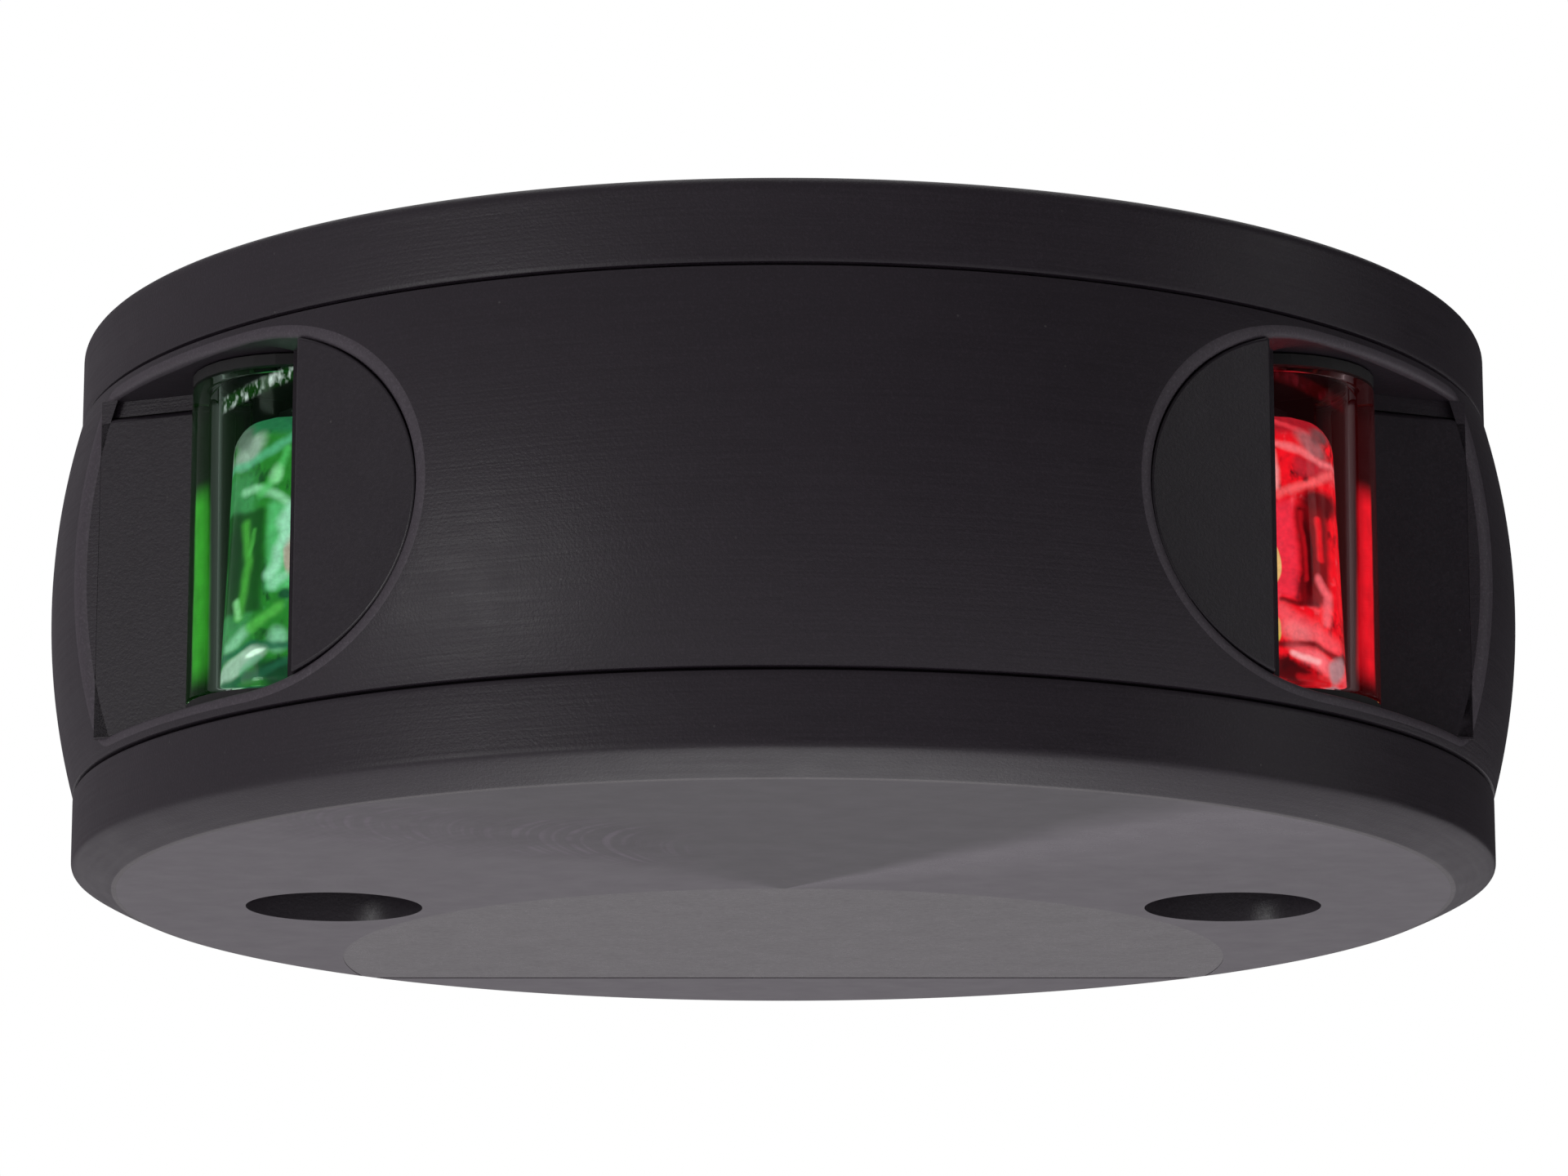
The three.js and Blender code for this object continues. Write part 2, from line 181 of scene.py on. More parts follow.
def temp(bm, name):
    me = bpy.data.meshes.new(name)
    bmesh.ops.recalc_face_normals(bm, faces=bm.faces)
    bm.to_mesh(me)
    bm.free()
    ob = bpy.data.objects.new(name, me)
    SCN.collection.objects.link(ob)
    return ob


def apply_all(ob):
    dg = bpy.context.evaluated_depsgraph_get()
    dg.update()
    me = bpy.data.meshes.new_from_object(ob.evaluated_get(dg))
    old = ob.data
    ob.modifiers.clear()
    ob.data = me
    if old.users == 0:
        bpy.data.meshes.remove(old)


def cut(ob, cutters, op="DIFFERENCE"):
    for c in cutters:
        m = ob.modifiers.new("b", "BOOLEAN")
        m.operation = op
        m.solver = "EXACT"
        m.object = c
    apply_all(ob)
    for c in cutters:
        bpy.data.objects.remove(c)


def bevelled(ob, width, segments=3, angle=30.0):
    """rounds the edges sharper than angle, in mm, and keeps the flats flat"""
    m = ob.modifiers.new("bevel", "BEVEL")
    m.width = width
    m.segments = segments
    m.limit_method = "ANGLE"
    m.angle_limit = math.radians(angle)
    m.use_clamp_overlap = True
    m.harden_normals = False
    m.miter_outer = "MITER_ARC"
    apply_all(ob)
    me = ob.data
    for p in me.polygons:
        p.use_smooth = True
    w = ob.modifiers.new("wn", "WEIGHTED_NORMAL")
    w.keep_sharp = True
    w.weight = 100
    apply_all(ob)


def to_metres(ob):
    for v in ob.data.vertices:
        v.co *= MM
    ob.data.update()


# ------------------------------------------------------------------ material helpers
class Nodes:
    def __init__(self, name):
        self.mat = bpy.data.materials.new(name)
        self.mat.use_nodes = True
        self.nt = self.mat.node_tree
        self.nt.nodes.clear()
        self.out = self.nt.nodes.new("ShaderNodeOutputMaterial")
        self.geo = self.nt.nodes.new("ShaderNodeTexCoord")

    def add(self, kind, **kw):
        n = self.nt.nodes.new(kind)
        for k, v in kw.items():
            if k in n.inputs.keys():
                n.inputs[k].default_value = v
            else:
                setattr(n, k, v)
        return n

    def link(self, a, b):
        self.nt.links.new(a, b)

    def math(self, op, a, b=None, c=None, clamp=False):
        n = self.nt.nodes.new("ShaderNodeMath")
        n.operation = op
        n.use_clamp = clamp
        for i, v in enumerate((a, b, c)):
            if v is None:
                continue
            if isinstance(v, (int, float)):
                n.inputs[i].default_value = v
            else:
                self.link(v, n.inputs[i])
        return n.outputs[0]

    def xyz(self):
        s = self.nt.nodes.new("ShaderNodeSeparateXYZ")
        self.link(self.geo.outputs["Object"], s.inputs[0])
        return s.outputs

    def vec(self, x, y, z):
        c = self.nt.nodes.new("ShaderNodeCombineXYZ")
        for i, v in enumerate((x, y, z)):
            if isinstance(v, (int, float)):
                c.inputs[i].default_value = v
            else:
                self.link(v, c.inputs[i])
        return c.outputs[0]

    def noise(self, vector, scale, detail=3.0, rough=0.55, dim="3D"):
        n = self.nt.nodes.new("ShaderNodeTexNoise")
        n.noise_dimensions = dim
        n.inputs["Scale"].default_value = scale
        n.inputs["Detail"].default_value = detail
        n.inputs["Roughness"].default_value = rough
        if vector is not None:
            self.link(vector, n.inputs["Vector"])
        return n.outputs["Fac"]

    def ramp(self, fac, stops):
        r = self.nt.nodes.new("ShaderNodeValToRGB")
        self.link(fac, r.inputs[0])
        el = r.color_ramp.elements
        while len(el) < len(stops):
            el.new(0.5)
        for e, (p, c) in zip(el, stops):
            e.position = p
            e.color = (*c, 1.0) if len(c) == 3 else c
        return r.outputs["Color"]

    def maprange(self, v, a, b, c, d, clamp=True):
        m = self.nt.nodes.new("ShaderNodeMapRange")
        m.clamp = clamp
        self.link(v, m.inputs["Value"])
        for k, x in zip(("From Min", "From Max", "To Min", "To Max"), (a, b, c, d)):
            m.inputs[k].default_value = x
        return m.outputs["Result"]

    def smooth(self, v, a, b, c, d):
        m = self.nt.nodes.new("ShaderNodeMapRange")
        m.interpolation_type = "SMOOTHSTEP"
        if a > b:
            a, b, c, d = b, a, d, c
        self.link(v, m.inputs["Value"])
        for k, x in zip(("From Min", "From Max", "To Min", "To Max"), (a, b, c, d)):
            m.inputs[k].default_value = x
        return m.outputs["Result"]

    def mix(self, fac, a, b):
        m = self.nt.nodes.new("ShaderNodeMix")
        m.data_type = "RGBA"
        for sock, v in ((m.inputs[0], fac), (m.inputs[6], a), (m.inputs[7], b)):
            if isinstance(v, (int, float)):
                sock.default_value = v
            elif isinstance(v, tuple):
                sock.default_value = (*v, 1.0)
            else:
                self.link(v, sock)
        return m.outputs[2]


def acetal(name, mode, tone=(0.0165, 0.0126, 0.0172), rough=0.42, lobes=1.0):
    """black machined plastic. mode: turned (lines round the axis), faced (cutter arcs in a flat, and a painted sheen in
    lobes), milled (fine even grain)
    """
    m = Nodes(name)
    x, y, z = m.xyz()
    obj = m.geo.outputs["Object"]
    fine = m.noise(obj, 7000.0, 2.0, 0.6)              # grain of the cut surface, about 0.14 mm
    cloud = m.noise(obj, 60.0, 4.0, 0.6)               # slow tone changes
    blot = m.noise(obj, 420.0, 3.0, 0.55)
    light = None
    if mode == "turned":
        az = m.math("ARCTAN2", x, y)
        lines = m.noise(m.vec(m.math("MULTIPLY", az, 0.0010), 0.0, z), 5600.0, 1.0, 0.5)
        wide = m.noise(m.vec(m.math("MULTIPLY", az, 0.006), 0.3, z), 900.0, 2.0, 0.5)
        marks = m.math("ADD", m.math("MULTIPLY", lines, 0.8), m.math("MULTIPLY", wide, 0.45))
        amp, dist, grain = 0.30, 0.00005, 1.1
    elif mode == "faced":
        # marks of a face cutter: circles round a point near the middle, and overlapping arcs along a pass to the left
        wob = m.math("MULTIPLY", m.noise(obj, 30.0, 2.0, 0.5), 0.0007)
        yc = m.math("ADD", y, 0.0045)
        rr = m.math("SQRT", m.math("MULTIPLY_ADD", x, x, m.math("MULTIPLY", yc, yc)))
        ring = m.noise(m.vec(m.math("ADD", rr, wob), 0.0, 0.0), 2300.0, 2.0, 0.6)
        path = m.math("MULTIPLY_ADD", x, 0.42, -0.0155)
        dy = m.math("SUBTRACT", y, path)
        arc = m.math("SQRT", m.math("MAXIMUM", m.math("MULTIPLY_ADD", m.math("MULTIPLY", dy, dy), -1.0, 0.0085 ** 2), 0.0))
        s = m.math("ADD", m.math("ADD", x, arc), m.math("MULTIPLY", wob, 0.5))
        loops = m.noise(m.vec(s, 0.2, 0.0), 2100.0, 1.0, 0.5)
        on_path = m.math("MULTIPLY", m.maprange(m.math("ABSOLUTE", dy), 0.0045, 0.0080, 1.0, 0.0), m.maprange(x, -0.0295, -0.0240, 0.0, 1.0))
        on_path = m.math("MULTIPLY", on_path, m.maprange(x, -0.0075, -0.0030, 1.0, 0.0))
        marks = m.math("ADD", m.math("MULTIPLY", ring, 0.55), m.math("MULTIPLY", m.math("MULTIPLY", on_path, loops), 0.55))
        # painted sheen: lighter and darker lobes about the middle, a dark wedge ahead and paler sweeps beside it,
        # painted into the colour for the way the cut turns the light over
        ang = m.math("ARCTAN2", x, m.math("MULTIPLY", yc, -1.0))       # 0 ahead, + to +X
        jit = m.math("MULTIPLY", m.math("SUBTRACT", m.noise(obj, 160.0, 3.0, 0.6), 0.5), 0.16)
        ang = m.math("ADD", ang, jit)
        hard = m.smooth(ang, 0.56, 0.80, 0.0, 1.0)
        soft = m.smooth(ang, -1.15, -0.35, 1.0, 0.0)
        sweep = m.maprange(ang, 0.73, 1.25, 1.0, 0.55)
        light = m.math("ADD", m.math("MULTIPLY", hard, sweep), m.math("MULTIPLY", soft, 0.55))
        amp, dist, grain = 0.10, 0.00004, 0.40
    elif mode == "smooth":
        marks = m.noise(obj, 2400.0, 2.0, 0.5)
        amp, dist, grain = 0.05, 0.00003, 0.3
    else:
        marks = m.noise(m.vec(m.math("MULTIPLY", x, 0.5), m.math("MULTIPLY", y, 0.5), m.math("MULTIPLY", z, 0.7)), 6500.0, 2.0, 0.6)
        amp, dist, grain = 0.18, 0.00004, 1.0
    # dust and nicks: sparse pale specks, well under 0.1 mm
    vo = m.nt.nodes.new("ShaderNodeTexVoronoi")
    vo.inputs["Scale"].default_value = 900.0
    m.link(obj, vo.inputs["Vector"])
    sc = m.nt.nodes.new("ShaderNodeSeparateColor")
    m.link(vo.outputs["Color"], sc.inputs[0])
    speck = m.math("MULTIPLY", m.maprange(vo.outputs["Distance"], 0.035, 0.075, 1.0, 0.0), m.maprange(sc.outputs[0], 0.80, 0.98, 0.0, 1.0))
    base = m.mix(m.maprange(cloud, 0.3, 0.7, 0.0, 1.0), tuple(c * 0.90 for c in tone), tuple(c * 1.12 for c in tone))
    if light is None:
        base = m.mix(m.math("MULTIPLY", m.maprange(marks, 0.35, 0.85, 0.0, 1.0), 0.30), base, tuple(c * 1.9 for c in tone))
    else:
        # painted sheen: the lobes lighten the base colour towards 3.9 times the tone
        base = m.mix(m.math("MULTIPLY_ADD", light, 0.85 * lobes, 0.45 * (1.0 - lobes)), base, tuple(c * 3.9 for c in tone))
        base = m.mix(m.math("MULTIPLY", m.math("MULTIPLY", on_path, m.math("MULTIPLY", m.maprange(loops, 0.47, 0.62, 0.0, 1.0), m.maprange(m.noise(obj, 380.0, 2.0, 0.6), 0.38, 0.58, 0.15, 1.0))), 0.70 * lobes), base, tuple(c * 5.6 for c in tone))
        base = m.mix(m.maprange(ring, 0.45, 0.75, 0.0, 0.35), base, tuple(c * 3.4 for c in tone))
    base = m.mix(m.maprange(fine, 0.50, 0.78, 0.0, 0.55), base, tuple(c * 2.4 for c in tone))
    base = m.mix(m.math("MULTIPLY", speck, 0.40), base, (0.15, 0.145, 0.14))
    r = m.math("ADD", m.maprange(marks, 0.3, 0.9, rough - 0.05, rough + 0.06), m.maprange(blot, 0.3, 0.7, -0.02, 0.03), clamp=True)
    if light is not None:
        r = m.math("ADD", r, m.maprange(light, 0.0, 1.0, 0.10 * lobes, -0.04 * lobes), clamp=True)
    h = m.math("ADD", marks, m.math("MULTIPLY", fine, grain))
    h = m.math("ADD", h, m.math("MULTIPLY", speck, 0.4))
    b = m.add("ShaderNodeBump", Strength=amp, Distance=dist)
    m.link(h, b.inputs["Height"])
    p = m.add("ShaderNodeBsdfPrincipled")
    p.inputs["IOR"].default_value = 1.48
    m.link(base, p.inputs["Base Color"])
    m.link(r, p.inputs["Roughness"])
    m.link(b.outputs["Normal"], p.inputs["Normal"])
    m.link(p.outputs[0], m.out.inputs[0])
    return m.mat


def rubber(name, tone=(0.012, 0.012, 0.012)):
    m = Nodes(name)
    n = m.noise(m.geo.outputs["Object"], 3500.0, 4.0, 0.6)
    c = m.mix(m.maprange(n, 0.3, 0.7, 0.0, 1.0), tuple(t * 0.7 for t in tone), tuple(t * 1.5 for t in tone))
    b = m.add("ShaderNodeBump", Strength=0.3, Distance=0.00005)
    m.link(n, b.inputs["Height"])
    p = m.add("ShaderNodeBsdfPrincipled")
    m.link(c, p.inputs["Base Color"])
    m.link(m.maprange(n, 0.2, 0.8, 0.55, 0.8), p.inputs["Roughness"])
    m.link(b.outputs["Normal"], p.inputs["Normal"])
    m.link(p.outputs[0], m.out.inputs[0])
    return m.mat


def metal(name, tone, rough, scale=4000.0):
    m = Nodes(name)
    x, y, z = m.xyz()
    n = m.noise(m.vec(x, y, m.math("MULTIPLY", z, 0.15)), scale, 3.0, 0.6)
    c = m.mix(m.maprange(n, 0.3, 0.7, 0.0, 1.0), tuple(t * 0.85 for t in tone), tuple(min(1.0, t * 1.1) for t in tone))
    b = m.add("ShaderNodeBump", Strength=0.15, Distance=0.00003)
    m.link(n, b.inputs["Height"])
    p = m.add("ShaderNodeBsdfPrincipled", Metallic=1.0)
    m.link(c, p.inputs["Base Color"])
    m.link(m.maprange(n, 0.2, 0.8, rough - 0.08, rough + 0.1), p.inputs["Roughness"])
    m.link(b.outputs["Normal"], p.inputs["Normal"])
    m.link(p.outputs[0], m.out.inputs[0])
    return m.mat


def painted(name, tone, rough, spec_scale=1800.0, metallic=0.0):
    m = Nodes(name)
    n = m.noise(m.geo.outputs["Object"], spec_scale, 4.0, 0.6)
    c = m.mix(m.maprange(n, 0.3, 0.7, 0.0, 1.0), tuple(t * 0.85 for t in tone), tuple(min(1.0, t * 1.12) for t in tone))
    b = m.add("ShaderNodeBump", Strength=0.12, Distance=0.00004)
    m.link(n, b.inputs["Height"])
    p = m.add("ShaderNodeBsdfPrincipled", Metallic=metallic)
    m.link(c, p.inputs["Base Color"])
    m.link(m.maprange(n, 0.2, 0.8, rough - 0.06, rough + 0.08), p.inputs["Roughness"])
    m.link(b.outputs["Normal"], p.inputs["Normal"])
    m.link(p.outputs[0], m.out.inputs[0])
    return m.mat


def outboard(m, side):
    """bearing round the sector's apex, 0 ahead and growing outboard, in radians, and the height in mm"""
    x, y, z = m.xyz()
    dx = m.math("MULTIPLY_ADD", x, side * 1000.0, APEX[0])
    dy = m.math("MULTIPLY_ADD", y, -1000.0, APEX[1])
    return m.math("ARCTAN2", dx, dy), m.math("MULTIPLY", z, 1000.0)


def radial(m, side):
    x, y, z = m.xyz()
    dx = m.math("MULTIPLY_ADD", x, side * 1000.0, APEX[0])
    dy = m.math("MULTIPLY_ADD", y, -1000.0, APEX[1])
    return m.math("SQRT", m.math("MULTIPLY_ADD", dx, dx, m.math("MULTIPLY", dy, dy)))


def seg_mask(m, a, z, pts, hw, soft):
    best = None
    for (x0, z0), (x1, z1) in zip(pts, pts[1:]):
        bx, bz = x1 - x0, z1 - z0
        px, pz = m.math("SUBTRACT", a, x0), m.math("SUBTRACT", z, z0)
        dot = m.math("MULTIPLY_ADD", px, bx, m.math("MULTIPLY", pz, bz))
        hh = m.math("MULTIPLY", dot, 1.0 / (bx * bx + bz * bz), clamp=True)
        dx, dz = m.math("MULTIPLY_ADD", hh, -bx, px), m.math("MULTIPLY_ADD", hh, -bz, pz)
        d = m.math("SQRT", m.math("MULTIPLY_ADD", dx, dx, m.math("MULTIPLY", dz, dz)))
        best = d if best is None else m.math("MINIMUM", best, d)
    return m.smooth(best, hw * 0.6, hw + soft * 1.5, 1.0, 0.0)


def ell_mask(m, a, z, ca, cz, ra, rz, deg, soft):
    c, s = math.cos(math.radians(deg)), math.sin(math.radians(deg))
    dx, dz = m.math("SUBTRACT", a, ca), m.math("SUBTRACT", z, cz)
    u = m.math("MULTIPLY_ADD", dx, c / ra, m.math("MULTIPLY", dz, s / ra))
    v = m.math("MULTIPLY_ADD", dx, -s / rz, m.math("MULTIPLY", dz, c / rz))
    d = m.math("SQRT", m.math("MULTIPLY_ADD", u, u, m.math("MULTIPLY", v, v)))
    return m.smooth(d, 1.0 - soft, 1.0 + soft, 1.0, 0.0)


def box_mask(m, a, z, a0, a1, z0, z1, soft):
    da = m.math("ABSOLUTE", m.math("SUBTRACT", a, (a0 + a1) / 2))
    dz = m.math("ABSOLUTE", m.math("SUBTRACT", z, (z0 + z1) / 2))
    return m.math("MULTIPLY", m.smooth(da, (a1 - a0) / 2 - soft, (a1 - a0) / 2 + soft, 1.0, 0.0), m.smooth(dz, (z1 - z0) / 2 - soft, (z1 - z0) / 2 + soft, 1.0, 0.0))


def lens_glass(name, tint, glow, side, sparkle):
    """clear, faintly tinted shell; an upright bright band at the middle of the sector is painted glow in its emission,
    for the light piped along its wall
    """
    m = Nodes(name)
    b, z = outboard(m, side)
    outer = m.smooth(radial(m, side), 5.6, 5.8, 0.0, 1.0)
    obj = m.geo.outputs["Object"]
    n = m.noise(obj, 500.0, 2.0, 0.5)
    bp = m.add("ShaderNodeBump", Strength=0.03, Distance=0.00004)
    m.link(n, bp.inputs["Height"])
    g = m.add("ShaderNodeBsdfPrincipled", Roughness=0.02)
    g.inputs["IOR"].default_value = 1.12
    g.inputs["Transmission Weight"].default_value = 1.0
    c = m.mix(m.maprange(n, 0.3, 0.7, 0.0, 1.0), tuple(t * 0.95 for t in tint), tint)
    m.link(c, g.inputs["Base Color"])
    wob = m.math("MULTIPLY", m.math("SUBTRACT", m.noise(obj, 260.0, 2.0, 0.5), 0.5), 0.05)
    bb = m.math("ADD", b, wob)
    low, high = m.maprange(z, 7.5, 18.5, 0.805, 0.865), 1.12
    # painted glow: the upright bright band of the emission
    band = m.math("MULTIPLY", m.smooth(m.math("SUBTRACT", bb, low), -0.025, 0.055, 0.0, 1.0), m.smooth(bb, high, high + 0.06, 1.0, 0.0))
    band = m.math("MULTIPLY", band, m.math("MULTIPLY", m.smooth(z, 7.2, 9.0, 0.0, 1.0), m.smooth(z, 17.2, 18.8, 1.0, 0.0)))
    band = m.math("MULTIPLY", band, outer)
    tone = m.mix(m.smooth(bb, 0.86, 1.02, 0.0, 1.0), tuple(t * 0.62 for t in glow), tuple(t * 0.95 for t in glow))
    lum = m.maprange(m.noise(m.vec(m.math("MULTIPLY", b, 2.0), 0.0, m.math("MULTIPLY", z, 0.35)), 2.0, 2.0, 0.5), 0.3, 0.7, 0.75, 1.1)
    # painted faint glow over the outer wall, stronger outboard and weaker at the top
    faint_painted_glow = m.math("MULTIPLY", m.math("MULTIPLY", outer, m.smooth(b, 0.45, 0.80, 0.25, 1.0)), m.smooth(z, 23.0, 24.2, 1.0, 0.2))
    em = m.mix(faint_painted_glow, (0.0, 0.0, 0.0), tuple(t * 0.012 for t in glow))
    em = m.mix(m.math("MULTIPLY", band, lum), em, tone)
    # painted glints: faint light under the upper seat, painted into the emission as points
    pts = m.noise(m.vec(m.math("MULTIPLY", b, 11.0), 0.0, m.math("MULTIPLY", z, 0.8)), 1.5, 2.0, 0.6)
    off = m.math("ABSOLUTE", m.math("SUBTRACT", z, m.math("MULTIPLY_ADD", m.math("SINE", b), -2.3, 23.95)))
    edge = m.math("MULTIPLY", m.smooth(off, 0.22, 0.55, 1.0, 0.0), m.smooth(b, 0.66, 0.76, 1.0, 0.0))
    edge = m.math("MULTIPLY", edge, outer)
    em2 = m.mix(m.maprange(pts, 0.48, 0.72, 0.0, 1.0), tuple(t * 0.10 for t in glow), (0.60, 0.74, 0.67) if side < 0 else (0.3, 0.01, 0.02))
    em = m.mix(m.math("MULTIPLY", edge, sparkle), em, em2)
    m.link(em, g.inputs["Emission Color"])
    g.inputs["Emission Strength"].default_value = 1.0
    m.link(bp.outputs["Normal"], g.inputs["Normal"])
    m.link(g.outputs[0], m.out.inputs[0])
    return m.mat


def optic_glow(name, side, tones, feats):
    """moulded clear optic lit from behind, all painted into its emission: facets, a darker upright core with bright
    lines in it, pale painted highlights and glints
    """
    m = Nodes(name)
    b, z = outboard(m, side)
    obj = m.geo.outputs["Object"]
    mid = math.radians(70.0)
    bm_ = m.math("SUBTRACT", mid, m.math("ABSOLUTE", m.math("SUBTRACT", b, mid)))
    a = m.math("MULTIPLY", m.math("SINE", bm_), 4.0)
    n1, n2 = m.noise(obj, 420.0, 2.0, 0.55), m.noise(m.vec(z, a, 0.0), 0.55, 2.0, 0.55)
    a = m.math("ADD", a, m.math("MULTIPLY", m.math("SUBTRACT", n1, 0.5), 0.50))
    z = m.math("ADD", z, m.math("MULTIPLY", m.math("SUBTRACT", n2, 0.5), 0.60))
    deep, mid_c, pale, white = tones
    swirl = m.noise(m.vec(m.math("MULTIPLY", a, 1.3), 0.4, m.math("MULTIPLY", z, 0.8)), 0.9, 3.0, 0.6)
    c = m.ramp(swirl, [(0.33, deep), (0.46, mid_c), (0.60, mid_c), (0.78, pale)])
    for f in feats:
        if f[0] == "line":
            k = seg_mask(m, a, z, f[1], f[2], f[3])
        elif f[0] == "spot":
            k = ell_mask(m, a, z, *f[1])
        else:
            k = box_mask(m, a, z, *f[1])
        c = m.mix(m.math("MULTIPLY", k, f[-1]), c, f[-2])
    spark = m.noise(obj, 2600.0, 2.0, 0.6)
    vm = m.nt.nodes.new("ShaderNodeVectorMath")
    vm.operation = "SCALE"
    m.link(c, vm.inputs[0])
    m.link(m.maprange(spark, 0.3, 0.7, 0.88, 1.14), vm.inputs["Scale"])
    c = vm.outputs[0]
    bp = m.add("ShaderNodeBump", Strength=0.08, Distance=0.0001)
    m.link(n1, bp.inputs["Height"])
    g = m.add("ShaderNodeBsdfPrincipled", Roughness=0.12)
    g.inputs["IOR"].default_value = 1.30
    g.inputs["Coat Weight"].default_value = 0.2
    g.inputs["Coat Roughness"].default_value = 0.04
    m.link(m.mix(0.85, c, (0.0, 0.0, 0.0)), g.inputs["Base Color"])
    m.link(c, g.inputs["Emission Color"])
    g.inputs["Emission Strength"].default_value = 1.0
    m.link(bp.outputs["Normal"], g.inputs["Normal"])
    m.link(g.outputs[0], m.out.inputs[0])
    return m.mat


# painted light: deep, mid, pale and white tones of the lit optics, used as their emission
GREEN = ((0.005, 0.06, 0.010), (0.020, 0.19, 0.022), (0.06, 0.26, 0.10), (0.45, 0.70, 0.54))
RED = ((0.12, 0.001, 0.004), (0.80, 0.006, 0.016), (0.86, 0.12, 0.15), (0.95, 0.60, 0.60))
# painted light on the lit optics, facets, lines, highlights, glints and dark spots: (kind, shape in mm outboard of the
# apex and up, colour, strength)
FEATS_S = [
    ("box", (-1.0, 5.0, 21.2, 23.5, 0.35), (0.022, 0.15, 0.075), 0.85),
    ("box", (2.3, 5.0, 9.0, 19.2, 0.5), (0.06, 0.25, 0.11), 0.60),
    ("box", (0.0, 1.5, 12.6, 17.3, 0.25), (0.11, 0.47, 0.18), 0.85),
    ("box", (1.70, 3.80, 11.5, 17.1, 0.22), (0.004, 0.060, 0.006), 0.97),
    ("spot", (3.25, 14.3, 0.35, 2.6, 0.0, 0.5), (0.002, 0.022, 0.004), 0.9),
    ("line", [(2.75, 16.4), (2.46, 14.2), (2.86, 11.3)], 0.02, 0.26, (0.07, 0.34, 0.04), 0.80),
    ("line", [(2.20, 16.0), (2.42, 14.6)], 0.01, 0.13, (0.08, 0.38, 0.06), 0.60),
    ("line", [(3.05, 12.1), (2.86, 11.3)], 0.02, 0.18, (0.26, 0.56, 0.26), 0.85),
    ("spot", (2.75, 20.4, 1.05, 0.60, -42.0, 0.45), (0.33, 0.38, 0.34), 1.0),
    ("spot", (3.3, 21.2, 0.6, 0.8, -45.0, 0.5), (0.12, 0.14, 0.125), 0.9),
    ("line", [(3.9, 19.63), (2.86, 19.63), (1.58, 20.15), (0.2, 21.0)], 0.02, 0.26, (0.12, 0.44, 0.27), 0.75),
    ("line", [(2.85, 18.2), (2.2, 18.25), (1.58, 18.0), (0.2, 17.2)], 0.02, 0.26, (0.36, 0.66, 0.44), 0.70),
    ("line", [(1.9, 17.9), (1.1, 18.9), (0.5, 20.3)], 0.02, 0.25, (0.10, 0.50, 0.14), 0.7),
    ("spot", (1.2, 18.9, 0.35, 0.5, 20.0, 0.6), (0.35, 0.70, 0.38), 0.7),
    ("line", [(0.2, 17.0), (0.62, 16.2), (0.45, 15.6)], 0.16, 0.32, (0.42, 0.70, 0.56), 0.85),
    ("spot", (0.36, 14.5, 0.28, 1.05, 0.0, 0.3), (0.50, 0.33, 0.31), 0.95),
    ("line", [(1.30, 13.4), (0.98, 14.0), (0.90, 14.9), (0.60, 15.4)], 0.08, 0.28, (0.42, 0.70, 0.56), 0.80),
    ("line", [(1.10, 12.9), (0.62, 13.3)], 0.08, 0.26, (0.36, 0.66, 0.50), 0.7),
    ("spot", (0.45, 12.3, 0.35, 0.30, 0.0, 0.5), (0.006, 0.06, 0.03), 0.9),
    ("line", [(3.2, 9.8), (2.55, 10.45)], 0.06, 0.30, (0.32, 0.58, 0.42), 0.7),
    ("line", [(2.2, 10.6), (0.8, 11.6)], 0.10, 0.25, (0.10, 0.42, 0.07), 0.8),
    ("spot", (0.75, 9.9, 0.5, 0.6, 0.0, 0.6), (0.30, 0.58, 0.42), 0.8),
    ("line", [(3.8, 9.1), (2.0, 9.75), (0.2, 9.55)], 0.06, 0.20, (0.012, 0.11, 0.06), 0.9),
    ("spot", (2.60, 8.75, 1.40, 0.58, -32.0, 0.25), (0.38, 0.47, 0.41), 1.0),
    ("spot", (1.85, 9.25, 0.45, 0.17, -32.0, 0.4), (0.92, 1.0, 0.94), 1.0),
    ("line", [(1.7, 8.9), (2.4, 8.2)], 0.06, 0.22, (0.05, 0.30, 0.15), 0.6),
    ("spot", (0.5, 8.0, 1.25, 0.75, 25.0, 0.35), (0.003, 0.035, 0.015), 0.95),
    ("line", [(3.6, 7.7), (1.7, 8.0), (0.3, 8.7)], 0.05, 0.22, (0.012, 0.09, 0.05), 0.9),
    ("box", (-1.0, 5.0, 5.0, 7.55, 0.2), (0.030, 0.038, 0.034), 0.9),
]
